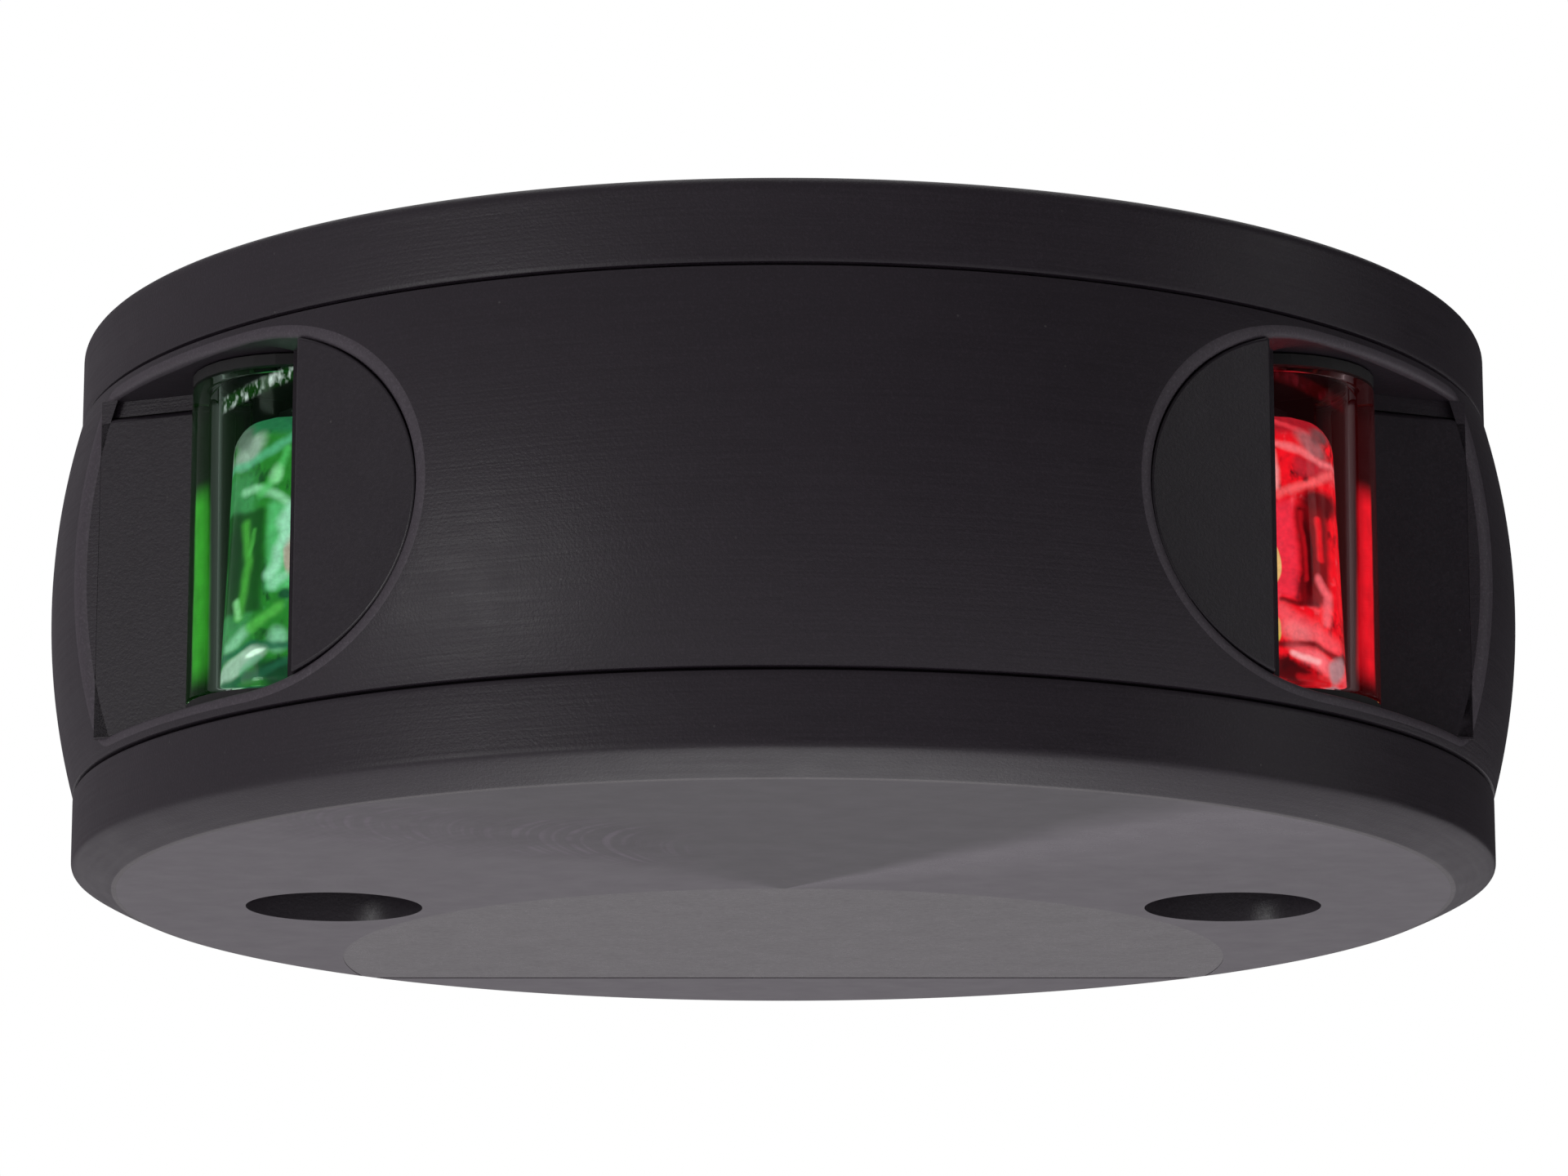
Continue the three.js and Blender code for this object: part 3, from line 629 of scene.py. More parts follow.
FEATS_P = [
    ("box", (-1.0, 5.0, 21.2, 23.5, 0.35), (0.33, 0.012, 0.022), 0.90),
    ("line", [(0.0, 22.0), (1.2, 21.7), (2.3, 21.0)], 0.06, 0.16, (0.75, 0.05, 0.07), 0.8),
    ("spot", (2.45, 20.6, 1.0, 0.50, -38.0, 0.45), (0.34, 0.115, 0.125), 0.95),
    ("spot", (3.0, 21.2, 0.5, 0.6, -45.0, 0.5), (0.11, 0.075, 0.08), 0.8),
    ("box", (1.45, 3.6, 18.9, 19.9, 0.3), (0.42, 0.02, 0.035), 0.85),
    ("line", [(-0.2, 20.75), (1.7, 20.25), (3.0, 19.75), (3.9, 19.7)], 0.04, 0.20, (0.90, 0.22, 0.24), 0.75),
    ("line", [(0.4, 17.75), (2.0, 18.4), (3.4, 19.2), (3.9, 19.3)], 0.06, 0.24, (0.88, 0.15, 0.16), 0.75),
    ("line", [(0.05, 20.1), (0.25, 19.0), (0.2, 18.2)], 0.10, 0.22, (0.92, 0.50, 0.50), 0.75),
    ("spot", (2.7, 17.5, 1.1, 0.75, 0.0, 0.4), (0.03, 0.001, 0.002), 0.92),
    ("box", (0.0, 1.3, 12.2, 17.4, 0.3), (0.80, 0.035, 0.07), 0.85),
    ("box", (1.38, 3.1, 11.9, 17.2, 0.22), (0.13, 0.001, 0.003), 0.95),
    ("spot", (1.9, 14.4, 0.22, 2.2, 0.0, 0.4), (0.035, 0.000, 0.001), 0.9),
    ("line", [(2.55, 16.6), (2.62, 14.4)], 0.12, 0.14, (0.72, 0.008, 0.018), 0.9),
    ("line", [(1.62, 16.8), (1.70, 13.2)], 0.02, 0.12, (0.42, 0.004, 0.010), 0.8),
    ("line", [(2.45, 13.2), (2.95, 12.4), (2.7, 11.0)], 0.08, 0.22, (0.88, 0.16, 0.19), 0.85),
    ("spot", (0.04, 13.96, 0.42, 1.22, 0.0, 0.10), (0.72, 0.56, 0.20), 1.0),
    ("spot", (0.10, 10.4, 0.36, 0.78, 0.0, 0.10), (0.50, 0.52, 0.08), 1.0),
    ("line", [(0.5, 11.95), (2.3, 11.9)], 0.05, 0.14, (0.05, 0.001, 0.002), 0.8),
    ("line", [(0.6, 11.3), (1.6, 10.6), (3.0, 9.8)], 0.10, 0.45, (0.87, 0.12, 0.15), 0.75),
    ("spot", (1.2, 10.3, 0.8, 0.45, -25.0, 0.7), (0.90, 0.24, 0.26), 0.70),
    ("line", [(0.1, 9.6), (1.8, 9.75), (3.5, 9.1)], 0.05, 0.16, (0.10, 0.001, 0.003), 0.85),
    ("spot", (2.3, 8.75, 1.5, 0.48, -30.0, 0.45), (0.86, 0.16, 0.19), 0.95),
    ("spot", (3.15, 8.5, 0.35, 0.75, -15.0, 0.4), (0.36, 0.26, 0.28), 0.95),
    ("line", [(1.0, 9.2), (2.2, 8.7)], 0.04, 0.18, (0.95, 0.62, 0.62), 0.7),
    ("spot", (0.7, 8.2, 1.2, 0.65, -20.0, 0.35), (0.03, 0.001, 0.002), 0.95),
    ("line", [(1.2, 7.9), (2.6, 7.75)], 0.06, 0.18, (0.50, 0.006, 0.012), 0.8),
    ("box", (-1.0, 5.0, 5.0, 7.50, 0.2), (0.032, 0.028, 0.030), 0.9),
]

M_BARREL = acetal("black_acetal_turned", "turned")
# lighter tone on the window rim rounding: painted highlight
M_RIM_HIGHLIGHT = acetal("black_acetal_rim_painted_highlight", "milled", tone=(0.056, 0.048, 0.057), rough=0.50)
# lighter tone for the small rounding at the cap's lower corner: painted highlight
M_CORNER_HIGHLIGHT = acetal("black_acetal_corner_painted_highlight", "milled", tone=(0.060, 0.054, 0.057), rough=0.44)
# face-cut marks, with a painted sheen in lobes about the middle
M_FACE = acetal("black_acetal_faced", "faced", rough=0.34)
M_FACE_TOP = acetal("black_acetal_faced_mounting", "faced", rough=0.40, lobes=0.0)
M_ZONE = acetal("black_acetal_smooth", "smooth", tone=(0.052, 0.046, 0.049), rough=0.31)
M_MILL = acetal("black_acetal_milled", "milled", tone=(0.0140, 0.0108, 0.0148), rough=0.36)
# darker tone for the pocket: painted shade; no face of the shell is given this slot
M_POCKET_SHADE = acetal("black_acetal_pocket_painted_shade", "milled", tone=(0.010, 0.0088, 0.0105), rough=0.5)
M_RUBBER = rubber("seal_rubber")
M_STEEL = metal("stainless_steel", (0.60, 0.59, 0.57), 0.28)
M_ALU = metal("aluminium_milled", (0.62, 0.63, 0.65), 0.35, 2500.0)
M_WHITE = painted("board_black_mask", (0.018, 0.019, 0.020), 0.40)
M_PCB = painted("board_green_mask", (0.012, 0.12, 0.045), 0.35)
M_COMP = painted("component_black", (0.02, 0.02, 0.022), 0.45)
M_CAP = painted("capacitor_sleeve", (0.02, 0.02, 0.045), 0.3)
M_TERM = painted("terminal_green", (0.02, 0.16, 0.06), 0.45)
M_JACKET = rubber("lead_jacket", (0.015, 0.015, 0.016))
M_LENS_S = lens_glass("lens_green", (0.74, 0.98, 0.82), (0.030, 0.33, 0.018), -1, 0.9)
M_LENS_P = lens_glass("lens_red", (1.0, 0.80, 0.80), (0.84, 0.007, 0.017), 1, 0.25)
M_OPT_S = optic_glow("optic_green_lit", -1, GREEN, FEATS_S)
M_OPT_P = optic_glow("optic_red_lit", 1, RED, FEATS_P)


def emitter(name, colour, strength):
    m = Nodes(name)
    n = m.noise(m.geo.outputs["Object"], 2500.0, 2.0, 0.5)
    c = m.mix(m.maprange(n, 0.3, 0.7, 0.0, 1.0), tuple(t * 0.9 for t in colour), colour)
    p = m.add("ShaderNodeBsdfPrincipled", Roughness=0.15)
    m.link(c, p.inputs["Base Color"])
    m.link(c, p.inputs["Emission Color"])
    p.inputs["Emission Strength"].default_value = strength
    m.link(p.outputs[0], m.out.inputs[0])
    return m.mat


M_LED_S = emitter("emitter_green", (0.75, 0.95, 0.70), 1.0)
M_LED_P = emitter("emitter_red", (1.0, 0.78, 0.25), 1.0)

# ------------------------------------------------------------------ barrel with its two windows
def rim_points():
    """closed rim of the starboard window on the barrel: (point, inward wall direction)"""
    out = []
    zt, zb = WIN_Z + WIN_R, WIN_Z - WIN_R

    def rear(z):
        R = radius(z)
        a, b = APEX[0] * T[0] + APEX[1] * T[1], APEX[0] ** 2 + APEX[1] ** 2 - R * R
        k = -a + math.sqrt(a * a - b)
        return plan(k)

    yw, tw = Vector((0, 1, 0)), Vector((-T[0], -T[1], 0))

    def edge(z, n, forward):
        R = radius(z)
        p0 = rear(z)
        b0 = math.atan2(-p0[0], -p0[1])
        b1 = math.asin(-WIN_X / R)
        pts = []
        for i in range(n + 1):
            t = i / n
            b = b0 + (b1 - b0) * t
            w = (tw * (1 - t) + yw * t).normalized()
            pts.append((Vector((-R * math.sin(b), -R * math.cos(b), z)), w))
        return pts if forward else pts[::-1]

    out += edge(zt, 34, True)
    for i in range(1, 72):
        a = math.radians(90 - 180 * i / 72)
        x, z = WIN_X + WIN_R * math.cos(a), WIN_Z + WIN_R * math.sin(a)
        out.append((Vector((x, -math.sqrt(radius(z) ** 2 - x * x), z)), yw))
    out += edge(zb, 34, False)
    for i in range(1, 48):
        z = zb + (zt - zb) * i / 48
        x, y = rear(z)
        out.append((Vector((x, y, z)), tw))
    return out


def surf_normal(p):
    r = math.hypot(p.x, p.y)
    nz = (p.z - Z_MID) / RHO
    nr = (r - RC) / RHO
    return Vector((p.x / r * nr, p.y / r * nr, nz)).normalized()


def on_barrel(p):
    r = math.hypot(p.x, p.y)
    R = radius(p.z)
    return Vector((p.x / r * R, p.y / r * R, p.z))


def barrel():
    bm = bmesh.new()
    rim = rim_points()
    n = len(rim)
    A, B, C = [], [], []
    cen = sum((p for p, _ in rim), Vector()) / n
    for i, (p, w) in enumerate(rim):
        t = (rim[(i + 1) % n][0] - rim[i - 1][0]).normalized()
        o = t.cross(surf_normal(p)).normalized()
        if o.dot(p - cen) < 0:
            o = -o
        A.append(on_barrel(p + o * FILLET))
        C.append(p)
        B.append(p + w * FILLET)
    # smooth the offset loop where the rim turns a corner
    for _ in range(3):
        A = [on_barrel((A[i - 1] + A[i] * 2 + A[(i + 1) % n]) / 4) for i in range(n)]
    rows = []
    for j in range(7):
        t = j / 6
        rows.append([A[i] * (1 - t) ** 2 + C[i] * 2 * t * (1 - t) + B[i] * t * t for i in range(n)])
    rows[0] = A
    for sx in (1, -1):
        # the rounding round each window takes slot 1, a lighter tone painted as a highlight
        strip(bm, [[(p.x * sx, p.y, p.z) for p in row] for row in rows], True, 1)
        # round end of the pocket, ruled fore and aft
        i0, i1 = 34, 34 + 72
        seg = B[i0:i1 + 1]
        strip(bm, [[(p.x * sx, p.y, p.z) for p in seg], [(p.x * sx, max(p.y, -27.95), p.z) for p in seg]], False)
        # lip at the aft edge
        seg = B[i1 + 34:] + [B[0]]
        seg2 = [Vector((*plan(12.42), p.z)) for p in seg]
        strip(bm, [[(p.x * sx, p.y, p.z) for p in seg], [(p.x * sx, p.y, p.z) for p in seg2]], False)
        zt, zb = WIN_Z + WIN_R, WIN_Z - WIN_R
        pa, pb, pc, pd = plan(12.42), plan(12.42, 3.2), plan(5.3, 3.2), plan(3.0, 6.0)
        qb, qc = plan(12.42, 0.45), plan(6.15, 0.45)
        zl = 24.2
        strip(bm, [[(a[0] * sx, a[1], zb) for a in (pa, pb, pc, pd)], [(a[0] * sx, a[1], zl) for a in (pa, pb, pc, pd)]], False)
        strip(bm, [[(a[0] * sx, a[1], zl) for a in (pa, qb, qc, pc, pd)], [(a[0] * sx, a[1], zt) for a in (pa, qb, qc, pc, pd)]], False)
        bm.faces.new([bm.verts.new((a[0] * sx, a[1], zl)) for a in (qb, qc, pc, pb)])
        # ceiling and floor of the pocket
        for z, sl in ((zt, B[0:i0 + 1]), (zb, B[i1:i1 + 35])):
            loop = [(p.x, p.y) for p in sl]
            if z == zb:
                loop = loop[::-1]
            loop += [(WIN_X, -28.4), (-25.0, -28.4), (-18.5, -26.0), (-17.2, -20.0), (-20.0, -11.5), pd, pc] + ([pb, pa] if z == zb else [qc, qb, pa])
            vs = [bm.verts.new((x * sx, y, z)) for x, y in loop]
            bm.faces.new(vs)
        # chamber wall behind the lens, and the seat behind the forward shutter
        ch = [(APEX[0] + 6.3 * direction(b)[0], APEX[1] + 6.3 * direction(b)[1]) for b in range(-78, -8, 6)]
        ch = ch + [(APEX[0] + 6.3 * direction(b)[0], APEX[1] + 6.3 * direction(b)[1]) for b in (-6, 0)] + [(-25.8, -27.95), (-18.6, -27.95)]
        strip(bm, [[(x * sx, y, zb) for x, y in ch], [(x * sx, y, zt) for x, y in ch]], False)
    # outer surface: triangulated in (arc length, z) with the window outlines left out
    z0, z1 = Z_B0 + 0.14, Z_B1 - 0.14
    NS, NZ = 420, 30
    L = 2 * math.pi * 40.0
    pts, edges = [], []
    for i in range(NS + 1):
        pts.append((-L / 2 + L * i / NS, z0))
    for i in range(NS + 1):
        pts.append((-L / 2 + L * i / NS, z1))
    for i in range(NS):
        edges.append((i, i + 1))
        edges.append((NS + 1 + i, NS + 2 + i))
    left, right = [0], [NS]
    for j in range(1, NZ):
        z = z0 + (z1 - z0) * j / NZ
        left.append(len(pts)); pts.append((-L / 2, z))
        right.append(len(pts)); pts.append((L / 2, z))
    left.append(NS + 1); right.append(2 * NS + 1)
    for q in (left, right):
        edges += list(zip(q, q[1:]))
    loops = []
    for sx in (1, -1):
        lp = [(math.atan2(-p.x * sx, -p.y) * 40.0, p.z) for p in A]
        loops.append(lp)
        s = len(pts)
        pts += lp
        edges += [(s + i, s + (i + 1) % len(lp)) for i in range(len(lp))]

    def inside(lp, x, y):
        c = False
        k = len(lp)
        for i in range(k):
            x1, y1 = lp[i]
            x2, y2 = lp[(i + 1) % k]
            if (y1 > y) != (y2 > y) and x < (x2 - x1) * (y - y1) / (y2 - y1) + x1:
                c = not c
        return c

    boxes = [(min(p[0] for p in lp), max(p[0] for p in lp), min(p[1] for p in lp), max(p[1] for p in lp)) for lp in loops]
    for j in range(1, NZ):
        z = z0 + (z1 - z0) * j / NZ
        for i in range(1, NS):
            s = -L / 2 + L * i / NS
            ok = True
            for lp, (a, b, c, d) in zip(loops, boxes):
                if a - 0.5 < s < b + 0.5 and c - 0.5 < z < d + 0.5:
                    if inside(lp, s, z) or min((s - q[0]) ** 2 + (z - q[1]) ** 2 for q in lp) < 0.06:
                        ok = False
                        break
            if ok:
                pts.append((s, z))
    vs, _, fs, _, _, _ = delaunay_2d_cdt([Vector(p) for p in pts], edges, [], 0, 1e-5)
    vv = []
    for p in vs:
        b = p.x / 40.0
        R = radius(p.y)
        vv.append(bm.verts.new((-R * math.sin(b), -R * math.cos(b), p.y)))
    for f in fs:
        cx = sum(vs[i].x for i in f) / len(f)
        cy = sum(vs[i].y for i in f) / len(f)
        if any(a < cx < b and c < cy < d and inside(lp, cx, cy) for lp, (a, b, c, d) in zip(loops, boxes)):
            continue
        try:
            bm.faces.new([vv[i] for i in f])
        except ValueError:
            pass
    # small broken edges at the two joints, end faces, bolt holes
    r0, r1 = radius(z0), radius(z1)
    rot = []
    for prof in ([(r0, z0), (r0 - 0.03, Z_B0 + 0.05), (r0 - 0.14, Z_B0), (24.0, Z_B0)], [(r1, z1), (r1 - 0.03, Z_B1 - 0.05), (r1 - 0.14, Z_B1), (24.0, Z_B1)]):
        rows = []
        for r, z in prof:
            rows.append([(-r * math.sin(2 * math.pi * i / NS - math.pi), -r * math.cos(2 * math.pi * i / NS - math.pi), z) for i in range(NS)])
        strip(bm, rows, True)
    for sx in (1, -1):
        lathe(bm, [(2.75, Z_B0), (2.75, Z_B1)], 48, sx * BOLT_X, BOLT_Y)
    finish_bm(bm, 40.0, 0.004)
    ob = link("housing_shell", bm, [M_BARREL, M_RIM_HIGHLIGHT, M_POCKET_SHADE])
    return ob


shell = barrel()
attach(shell, "root")
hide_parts("housing_body")


# ------------------------------------------------------------------ discs
def cylinder(x, y, r, z0, z1, n=96):
    bm = bmesh.new()
    lathe(bm, [(0, z0), (r, z0), (r, z1), (0, z1)], n, x, y)
    return temp(bm, "c")


def round_edges(ob, width, segments, keep):
    """rounds the sharp edges that keep(a, b) accepts, then leaves flat faces flat and everything else smooth"""
    bm = bmesh.new()
    bm.from_mesh(ob.data)
    bmesh.ops.remove_doubles(bm, verts=bm.verts, dist=2e-4)
    bmesh.ops.dissolve_degenerate(bm, edges=bm.edges, dist=2e-4)
    bmesh.ops.dissolve_limit(bm, angle_limit=math.radians(0.2), verts=[], edges=[e for e in bm.edges if all(abs(f.normal.z) > 0.99999 for f in e.link_faces)], use_dissolve_boundaries=False)
    es = [e for e in bm.edges if len(e.link_faces) == 2 and e.calc_face_angle(0.0) > math.radians(38) and keep(e.verts[0].co, e.verts[1].co)]
    if es:
        bmesh.ops.bevel(bm, geom=es, offset=width, offset_type="OFFSET", segments=segments, profile=0.5, affect="EDGES", clamp_overlap=True)
    for f in bm.faces:
        f.smooth = True
    for e in bm.edges:
        if len(e.link_faces) != 2:
            continue
        ang = e.calc_face_angle(0.0)
        big = any(abs(f.normal.z) > 0.9999 for f in e.link_faces)
        e.smooth = ang < math.radians(2.0 if big else 32.0)
    bm.to_mesh(ob.data)
    bm.free()


def groove(z0, z1):
    """the seal's groove, a ring with rounded corners"""
    def outline(o):
        x, ya, yb, r = 16 + o, -22 - o, 24 + o, 6 + o
        p = []
        for cx, cy, a in ((x - r, yb - r, 0), (r - x, yb - r, 90), (r - x, ya + r, 180), (x - r, ya + r, 270)):
            p += arc_pts(cx, cy, r, a, a + 90, 16)
        return p
    ring = temp(prism_bm(outline(3.8), z0, z1), "c")
    cut(ring, [temp(prism_bm(outline(1.4), z0 - 1, z1 + 1), "c")])
    return ring


def cap():
    bm = bmesh.new()
    prof = [(0, 0), (37.2, 0)]
    # lower edge: worn corner, shallow chamfer a little crowned, tight corner into the wall, then a broken upper edge
    prof += [(37.46, 0.0), (37.60, 0.012), (37.74, 0.045), (37.86, 0.095), (38.20, 0.245), (38.60, 0.425), (39.00, 0.620), (39.35, 0.800), (39.62, 0.950), (39.80, 1.062), (39.90, 1.140), (39.965, 1.235), (39.995, 1.36), (40.0, 1.52), (40.0, 1.9)]
    prof += [(40.0, 3.6), (40.0, Z_CAP - 0.30), (39.985, Z_CAP - 0.16), (39.93, Z_CAP - 0.06), (39.84, Z_CAP - 0.01), (39.7, Z_CAP), (0, Z_CAP)]
    lathe(bm, prof, 288)
    bmesh.ops.remove_doubles(bm, verts=bm.verts, dist=1e-4)
    ob = temp(bm, "underside_cap")
    cutters = []
    for s in (1, -1):
        cutters.append(cylinder(s * BOLT_X, BOLT_Y, 5.0, -1, 3.2, 120))
        cutters.append(cylinder(s * BOLT_X, BOLT_Y, 2.75, 1, 9, 72))
    half = math.sqrt(26.4 ** 2 - (28.2 - 21.7) ** 2)
    a0 = math.degrees(math.atan2(28.2 - 21.7, half))
    cutters.append(temp(prism_bm(arc_pts(0, 21.7, 26.4, 180 - a0, 360 + a0, 160), -1, 0.03), "c"))
    cutters.append(groove(Z_CAP - 1.5, Z_CAP + 1))
    cutters += [cylinder(x, y, 1.75, 1.4, 8, 48) for x, y in SCREWS]
    cut(ob, cutters)
    # posts that carry the driver board, with their blind screw holes
    cut(ob, [cylinder(0, y, 2.6, Z_CAP - 1, 8.6, 48) for y in (-13.5, 17)], "UNION")
    cut(ob, [cylinder(0, y, 1.25, 3.4, 12, 32) for y in (-13.5, 17)])

    def at_bolt(v):
        return abs(math.hypot(abs(v.x) - BOLT_X, v.y - BOLT_Y) - 5.0) < 0.02 or abs(math.hypot(abs(v.x) - BOLT_X, v.y - BOLT_Y) - 2.75) < 0.02

    round_edges(ob, 0.16, 3, lambda a, b: at_bolt(a) and at_bolt(b) and a.z < 4.0 and b.z < 4.0)
    to_metres(ob)
    ob.data.materials.clear()
    for mt in (M_BARREL, M_FACE, M_ZONE, M_MILL, M_CORNER_HIGHLIGHT):
        ob.data.materials.append(mt)
    for p in ob.data.polygons:
        c = p.center
        # the small rounding at the lower corner takes the lighter painted highlight
        if 0.03746 < math.hypot(c.x, c.y) < 0.03776 and c.z < 0.0001:
            p.material_index = 4
        elif p.normal.z < -0.985 and c.z < 0.00001:
            p.material_index = 1
        elif p.normal.z < -0.9 and c.z < 0.0004 and math.hypot(c.x, c.y - 0.0217) < 0.0266 and c.y < 0.0284 and math.hypot(abs(c.x) - BOLT_X * MM, c.y - BOLT_Y * MM) > 0.0056:
            p.material_index = 2
        elif math.hypot(c.x, c.y) < 0.0366 and c.z < 0.0034:
            p.material_index = 3
    return ob


def plate():
    bm = bmesh.new()
    f = 0.7
    prof = [(0, Z_PLATE0), (39.7, Z_PLATE0), (39.86, Z_PLATE0 + 0.015), (39.95, Z_PLATE0 + 0.07), (39.99, Z_PLATE0 + 0.16), (40.0, Z_PLATE0 + 0.30), (40.0, Z_PLATE0 + 2.0), (40.0, Z_TOP - f - 0.15)]
    prof += [(40 - f + f * math.cos(math.radians(a)), Z_TOP - f + f * math.sin(math.radians(a))) for a in range(0, 91, 10)]
    prof += [(39.0, Z_TOP), (0, Z_TOP)]
    lathe(bm, prof, 288)
    ob = temp(bm, "mounting_plate")
    cutters = [cylinder(s * BOLT_X, BOLT_Y, 2.75, 20, 40, 72) for s in (1, -1)]
    for x, y in SCREWS:
        bm = bmesh.new()
        lathe(bm, [(0, 20), (1.75, 20), (1.75, Z_TOP - 2.0), (3.3, Z_TOP - 0.45), (3.3, 40), (0, 40)], 72, x, y)
        cutters.append(temp(bm, "c"))
    cutters.append(cylinder(0, 8, 5.3, 20, 40, 96))
    cutters.append(groove(20, Z_PLATE0 + 1.5))
    cut(ob, cutters)
    round_edges(ob, 0.14, 2, lambda a, b: math.hypot(a.x, a.y) < 37.5 and a.z > Z_TOP - 0.02 and b.z > Z_TOP - 0.02)
    to_metres(ob)
    ob.data.materials.clear()
    ob.data.materials.append(M_BARREL)
    ob.data.materials.append(M_FACE_TOP)
    for p in ob.data.polygons:
        if abs(p.normal.z) > 0.95:
            p.material_index = 1
    return ob


for ob, node in ((cap(), "bottom_cap"), (plate(), "top_plate")):
    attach(ob, "root")
    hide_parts(node)


# ------------------------------------------------------------------ shutters
def front_shutter():
    r = WIN_R - 0.05
    half = math.degrees(math.asin((SCREEN_X - WIN_X) / r))
    a0 = 90 - half
    out = arc_pts(WIN_X, WIN_Z, r, -a0, a0, 110)
    bm = bmesh.new()
    y0, y1 = -45.0, -28.15
    f = [bm.verts.new((x, y0, z)) for x, z in out]
    b = [bm.verts.new((x, y1, z)) for x, z in out]
    bm.faces.new(f)
    bm.faces.new(b[::-1])
    n = len(out)
    for i in range(n):
        j = (i + 1) % n
        bm.faces.new((f[j], f[i], b[i], b[j]))
    ob = temp(bm, "starboard_forward_screen")
    pa, pb = (-18.9, -35.8), (-25.8, -31.2)
    d = (pb[0] - pa[0], pb[1] - pa[1])
    q = [(pa[0] + d[0] * k, pa[1] + d[1] * k) for k in (-2, 3)]
    cut(ob, [temp(prism_bm([q[0], q[1], (q[1][0], -70), (q[0][0], -70)], 0, 40), "c")])
    bm = bmesh.new()
    bm.from_mesh(ob.data)
    bmesh.ops.remove_doubles(bm, verts=bm.verts, dist=1e-4)
    es = [e for e in bm.edges if len(e.link_faces) == 2 and e.calc_face_angle(0.0) > math.radians(30) and min(e.verts[0].co.y, e.verts[1].co.y) < -28.3 and abs(e.verts[0].co.x - SCREEN_X) + abs(e.verts[1].co.x - SCREEN_X) > 0.01]
    bmesh.ops.bevel(bm, geom=es, offset=0.20, offset_type="OFFSET", segments=4, profile=0.5, affect="EDGES", clamp_overlap=True)
    es = [e for e in bm.edges if len(e.link_faces) == 2 and e.calc_face_angle(0.0) > math.radians(30) and min(e.verts[0].co.y, e.verts[1].co.y) < -28.3 and abs(e.verts[0].co.x - SCREEN_X) + abs(e.verts[1].co.x - SCREEN_X) <= 0.01]
    if es:
        bmesh.ops.bevel(bm, geom=es, offset=0.10, offset_type="OFFSET", segments=2, profile=0.5, affect="EDGES", clamp_overlap=True)
    smooth_flats(bm, 4.0)
    bm.to_mesh(ob.data)
    bm.free()
    to_metres(ob)
    ob.data.materials.clear()
    ob.data.materials.append(M_MILL)
    return ob


def smooth_flats(bm, area):
    """faces larger than area, in mm2, keep their own flat shading; the roundings between them are smooth"""
    for f in bm.faces:
        f.smooth = True
    for e in bm.edges:
        if len(e.link_faces) == 2:
            big = any(f.calc_area() > area for f in e.link_faces)
            e.smooth = e.calc_face_angle(0.0) < math.radians(2.0 if big else 35.0)


def rear_shutter():
    pts = [plan(6.28), plan(12.40), plan(12.40, 2.9), plan(6.28, 2.9)]
    ob = temp(prism_bm(pts, WIN_Z - WIN_R + 0.1, 24.08), "starboard_aft_screen")
    bm = bmesh.new()
    bm.from_mesh(ob.data)

    def ks(v):
        return (v.co.x - APEX[0]) * T[0] + (v.co.y - APEX[1]) * T[1]

    es = [e for e in bm.edges if not all(ks(v) > 12.3 for v in e.verts) and not all(v.co.z < 7.0 for v in e.verts)]
    bmesh.ops.bevel(bm, geom=es, offset=0.28, offset_type="OFFSET", segments=4, profile=0.5, affect="EDGES", clamp_overlap=True)
    smooth_flats(bm, 4.0)
    bm.to_mesh(ob.data)
    bm.free()
    to_metres(ob)
    ob.data.materials.clear()
    ob.data.materials.append(M_MILL)
    return ob


for make, pname, node in ((front_shutter, "forward_screen", "front_shutter"), (rear_shutter, "aft_screen", "rear_shutter")):
    s_ob = make()
    p_ob = mirrored(s_ob, "port_" + pname, [M_MILL])
    for ob, nd in ((s_ob, "starboard_" + node), (p_ob, "port_" + node)):
        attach(ob, "root")
        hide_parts(nd)


# ------------------------------------------------------------------ lenses and optics
def lens():
    def bear(r, b0, b1, n):
        return [(APEX[0] + r * direction(b0 + (b1 - b0) * i / n)[0], APEX[1] + r * direction(b0 + (b1 - b0) * i / n)[1]) for i in range(n + 1)]
    ob = temp(prism_bm(bear(6.0, -24, 136.5, 110) + bear(4.5, 136.5, -24, 90), 7.05, 24.27), "starboard_lens_shell")
    bm = bmesh.new()
    bm.from_mesh(ob.data)
    es = [e for e in bm.edges if len(e.link_faces) == 2 and e.calc_face_angle(0.0) > math.radians(40)]
    bmesh.ops.bevel(bm, geom=es, offset=0.25, offset_type="OFFSET", segments=3, profile=0.5, affect="EDGES", clamp_overlap=True)
    for f in bm.faces:
        f.smooth = True
    for e in bm.edges:
        if len(e.link_faces) == 2:
            big = any(abs(f.normal.z) > 0.9999 for f in e.link_faces)
            e.smooth = e.calc_face_angle(0.0) < math.radians(2.0 if big else 35.0)
    bm.to_mesh(ob.data)
    bm.free()
    to_metres(ob)
    ob.data.materials.clear()
    ob.data.materials.append(M_LENS_S)
    return ob


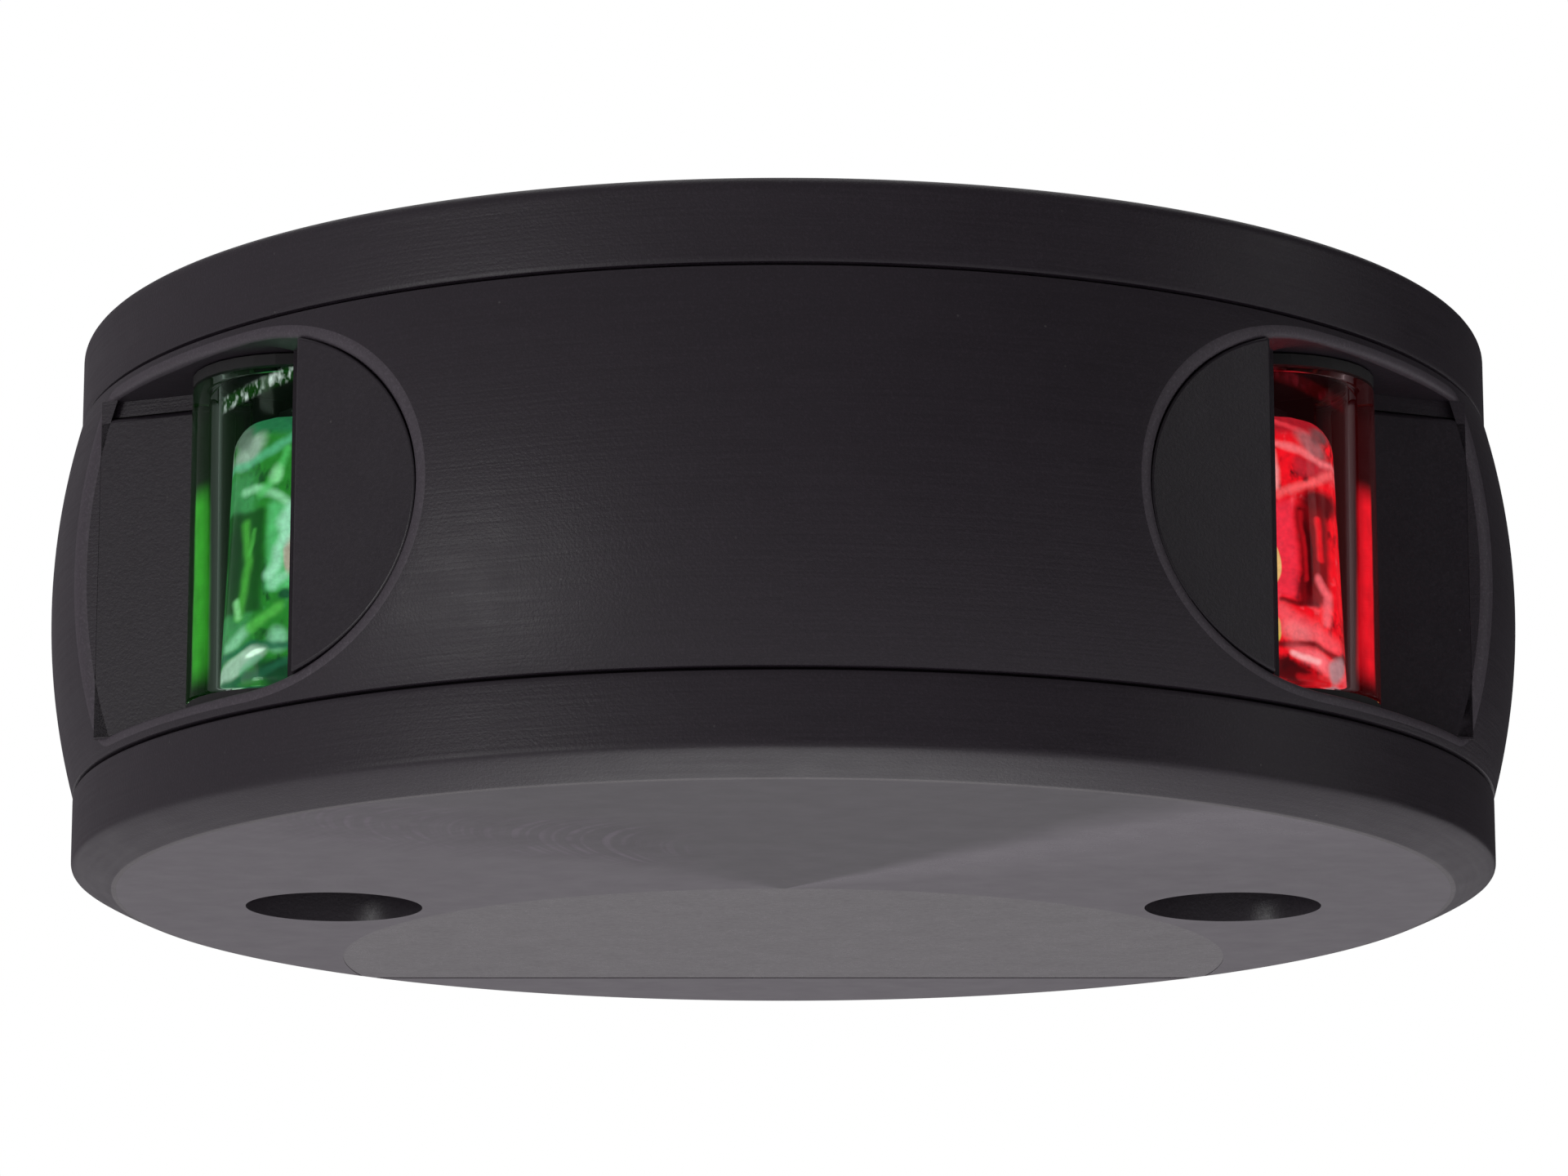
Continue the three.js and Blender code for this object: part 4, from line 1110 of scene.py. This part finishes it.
def optic():
    """moulded block standing in front of the emitter: drafted, with a round shoulder and shallow flutes up its face"""
    z0, z1 = 7.35, 22.4
    B0, B1, NB = -8.0, 120.5, 128
    zs = [(z0, -0.35), (z0 + 0.1, -0.15), (z0 + 0.35, 0.0)]
    zs += [(z0 + 0.35 + (z1 - 1.7 - z0 - 0.35) * i / 24, 0.0) for i in range(1, 25)]
    zs += [(z1 - 1.7 + 1.7 * math.sin(math.radians(t)), -1.7 * (1 - math.cos(math.radians(t)))) for t in (12, 24, 36, 48, 60, 72, 82, 90)]
    bm = bmesh.new()
    rows = []
    u = direction(56.25)
    v = (u[1], -u[0])
    for z, dr in zs:
        r = 4.32 - (z - z0) * 0.047 + dr
        row = []
        for i in range(NB + 1):
            b = B0 + (B1 - B0) * i / NB
            e = min(1.0, min(b - B0, B1 - b) / 6.0)
            rr = r + 0.035 * math.cos(math.radians(b * 12.0)) * e - 0.3 * (1 - e) ** 2
            d = direction(b)
            row.append((APEX[0] + rr * d[0], APEX[1] + rr * d[1], z))
        w = r * math.sin(math.radians(60.0))
        for s in (-1, 1):
            p = (APEX[0] + u[0] * 1.1 + v[0] * w * s, APEX[1] + u[1] * 1.1 + v[1] * w * s)
            e0 = row[NB]
            if s == -1:
                first = p
            else:
                second = p
        near = first if math.hypot(first[0] - e0[0], first[1] - e0[1]) < math.hypot(second[0] - e0[0], second[1] - e0[1]) else second
        other = second if near is first else first
        row += [(near[0], near[1], z), (other[0], other[1], z)]
        rows.append(row)
    vs = strip(bm, rows, True)
    bm.faces.new(vs[0][::-1])
    bm.faces.new(vs[-1])
    bmesh.ops.recalc_face_normals(bm, faces=bm.faces)
    for f in bm.faces:
        f.smooth = True
    for e in bm.edges:
        if len(e.link_faces) == 2:
            e.smooth = e.calc_face_angle(0.0) < math.radians(35.0)
    ob = temp(bm, "starboard_light_guide")
    to_metres(ob)
    ob.data.materials.clear()
    ob.data.materials.append(M_OPT_S)
    return ob


for make, pname, node, ms, mp, slots in (
        (lens, "lens_shell", "lens", M_LENS_S, M_LENS_P, ("green_lens", "red_lens")),
        (optic, "light_guide", "optic", M_OPT_S, M_OPT_P, ("clear_optic", "clear_optic"))):
    s_ob = make()
    p_ob = mirrored(s_ob, "port_" + pname, [mp])
    for ob, nd, sl in ((s_ob, "starboard_" + node, slots[0]), (p_ob, "port_" + node, slots[1])):
        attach(ob, "root")
        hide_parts(nd)

# ------------------------------------------------------------------ CAD nodes that stay: better materials
KEEP = {
    "lower_seal": M_RUBBER, "upper_seal": M_RUBBER, "cable_gland": M_RUBBER,
    "driver_board": M_PCB, "inductor": M_COMP, "rectifier": M_COMP, "driver_chip": M_COMP,
    "capacitor": M_CAP, "terminal_block": M_TERM, "driver_screw_fore": M_STEEL, "driver_screw_aft": M_STEEL,
    "starboard_led": M_LED_S, "port_led": M_LED_P,
}
for s in ("starboard_", "port_"):
    KEEP.update({s + "lens_gasket_lower": M_RUBBER, s + "lens_gasket_upper": M_RUBBER, s + "led_board": M_WHITE,
                 s + "heat_spreader": M_ALU, s + "board_screw_lower": M_STEEL, s + "board_screw_upper": M_STEEL, s + "led_lead": M_JACKET})
for k in range(4):
    KEEP[f"assembly_screw_{k + 1}"] = M_STEEL
for n, mt in KEEP.items():
    me = NODES[n].data
    me.materials.clear()
    me.materials.append(mt)

# ------------------------------------------------------------------ stage, light, camera
bm = bmesh.new()
bmesh.ops.create_grid(bm, x_segments=8, y_segments=8, size=6.0)
for v in bm.verts:
    v.co.z = -0.60
fm = Nodes("floor_pale")
fn = fm.noise(fm.geo.outputs["Object"], 3.0, 2.0, 0.5)
fp = fm.add("ShaderNodeBsdfPrincipled", Roughness=0.8)
fc = fm.mix(fm.maprange(fn, 0.3, 0.7, 0.0, 1.0), (0.845, 0.835, 0.85), (0.865, 0.855, 0.87))
fm.link(fc, fp.inputs["Base Color"])
fm.link(fc, fp.inputs["Emission Color"])
fp.inputs["Emission Strength"].default_value = 0.32
fm.link(fp.outputs[0], fm.out.inputs[0])
floor_m = fm.mat
floor = link("stage_floor", bm, floor_m)

w = bpy.data.worlds.new("studio")
SCN.world = w
w.use_nodes = True
nt = w.node_tree
nt.nodes.clear()


def wmath(op, a, b, clamp=False):
    n = nt.nodes.new("ShaderNodeMath")
    n.operation = op
    n.use_clamp = clamp
    for i, q in enumerate((a, b)):
        if isinstance(q, (int, float)):
            n.inputs[i].default_value = q
        else:
            nt.links.new(q, n.inputs[i])
    return n.outputs[0]


wo = nt.nodes.new("ShaderNodeOutputWorld")
lp = nt.nodes.new("ShaderNodeLightPath")
b1 = nt.nodes.new("ShaderNodeBackground")
b1.inputs[0].default_value = (1, 1, 1, 1)
b1.inputs[1].default_value = 1.0
b2 = nt.nodes.new("ShaderNodeBackground")
b2.inputs[0].default_value = (0.985, 0.92, 1.0, 1)
tc = nt.nodes.new("ShaderNodeTexCoord")
sx = nt.nodes.new("ShaderNodeSeparateXYZ")
nt.links.new(tc.outputs["Generated"], sx.inputs[0])
left = wmath("MULTIPLY", wmath("MAXIMUM", wmath("MULTIPLY", sx.outputs[0], -1.0), 0.0), 0.10)
right = wmath("MULTIPLY", wmath("MAXIMUM", sx.outputs[0], 0.0), -0.27)
back = wmath("MULTIPLY", wmath("MAXIMUM", sx.outputs[1], 0.0), -0.14)
tot = wmath("ADD", wmath("ADD", left, right), wmath("ADD", back, 0.285))
nt.links.new(wmath("MAXIMUM", tot, 0.04), b2.inputs[1])
mx = nt.nodes.new("ShaderNodeMixShader")
nt.links.new(lp.outputs["Is Camera Ray"], mx.inputs[0])
nt.links.new(b2.outputs[0], mx.inputs[1])
nt.links.new(b1.outputs[0], mx.inputs[2])
nt.links.new(mx.outputs[0], wo.inputs[0])


def area(name, loc, target, size, power, colour=(1, 1, 1), size_y=None):
    d = bpy.data.lights.new(name, "AREA")
    d.energy = power
    d.color = colour
    d.size = size
    if size_y:
        d.shape = "RECTANGLE"
        d.size_y = size_y
    o = bpy.data.objects.new(name, d)
    SCN.collection.objects.link(o)
    o.location = loc
    o.rotation_euler = (Vector(target) - Vector(loc)).to_track_quat("-Z", "Y").to_euler()
    o.visible_camera = False
    return o


area("softbox_left", (-0.76, -0.73, -0.05), (0, 0, 0.015), 0.34, 1.45, size_y=0.18)
area("fill_right", (1.0, -0.15, 0.26), (0, 0, 0.015), 0.45, 0.42)
area("panel_under", (0.0, 0.02, -0.15), (0, 0.02, 0.015), 0.09, 0.095, size_y=0.30)
area("overhead", (0.0, 0.6, 1.1), (0, 0.1, 0.0), 1.2, 3.0)

cam = bpy.data.cameras.new("camera")
cam.sensor_width = 36.0
cam.lens = 132.06
cam.shift_x = 0.0004
cam.clip_start = 0.01
co = bpy.data.objects.new("camera", cam)
SCN.collection.objects.link(co)
co.location = (0.0, -0.32094, -0.05354)
co.rotation_euler = (math.radians(102.60), 0.0, 0.0)
SCN.camera = co

SCN.view_settings.view_transform = "Standard"
SCN.view_settings.look = "None"
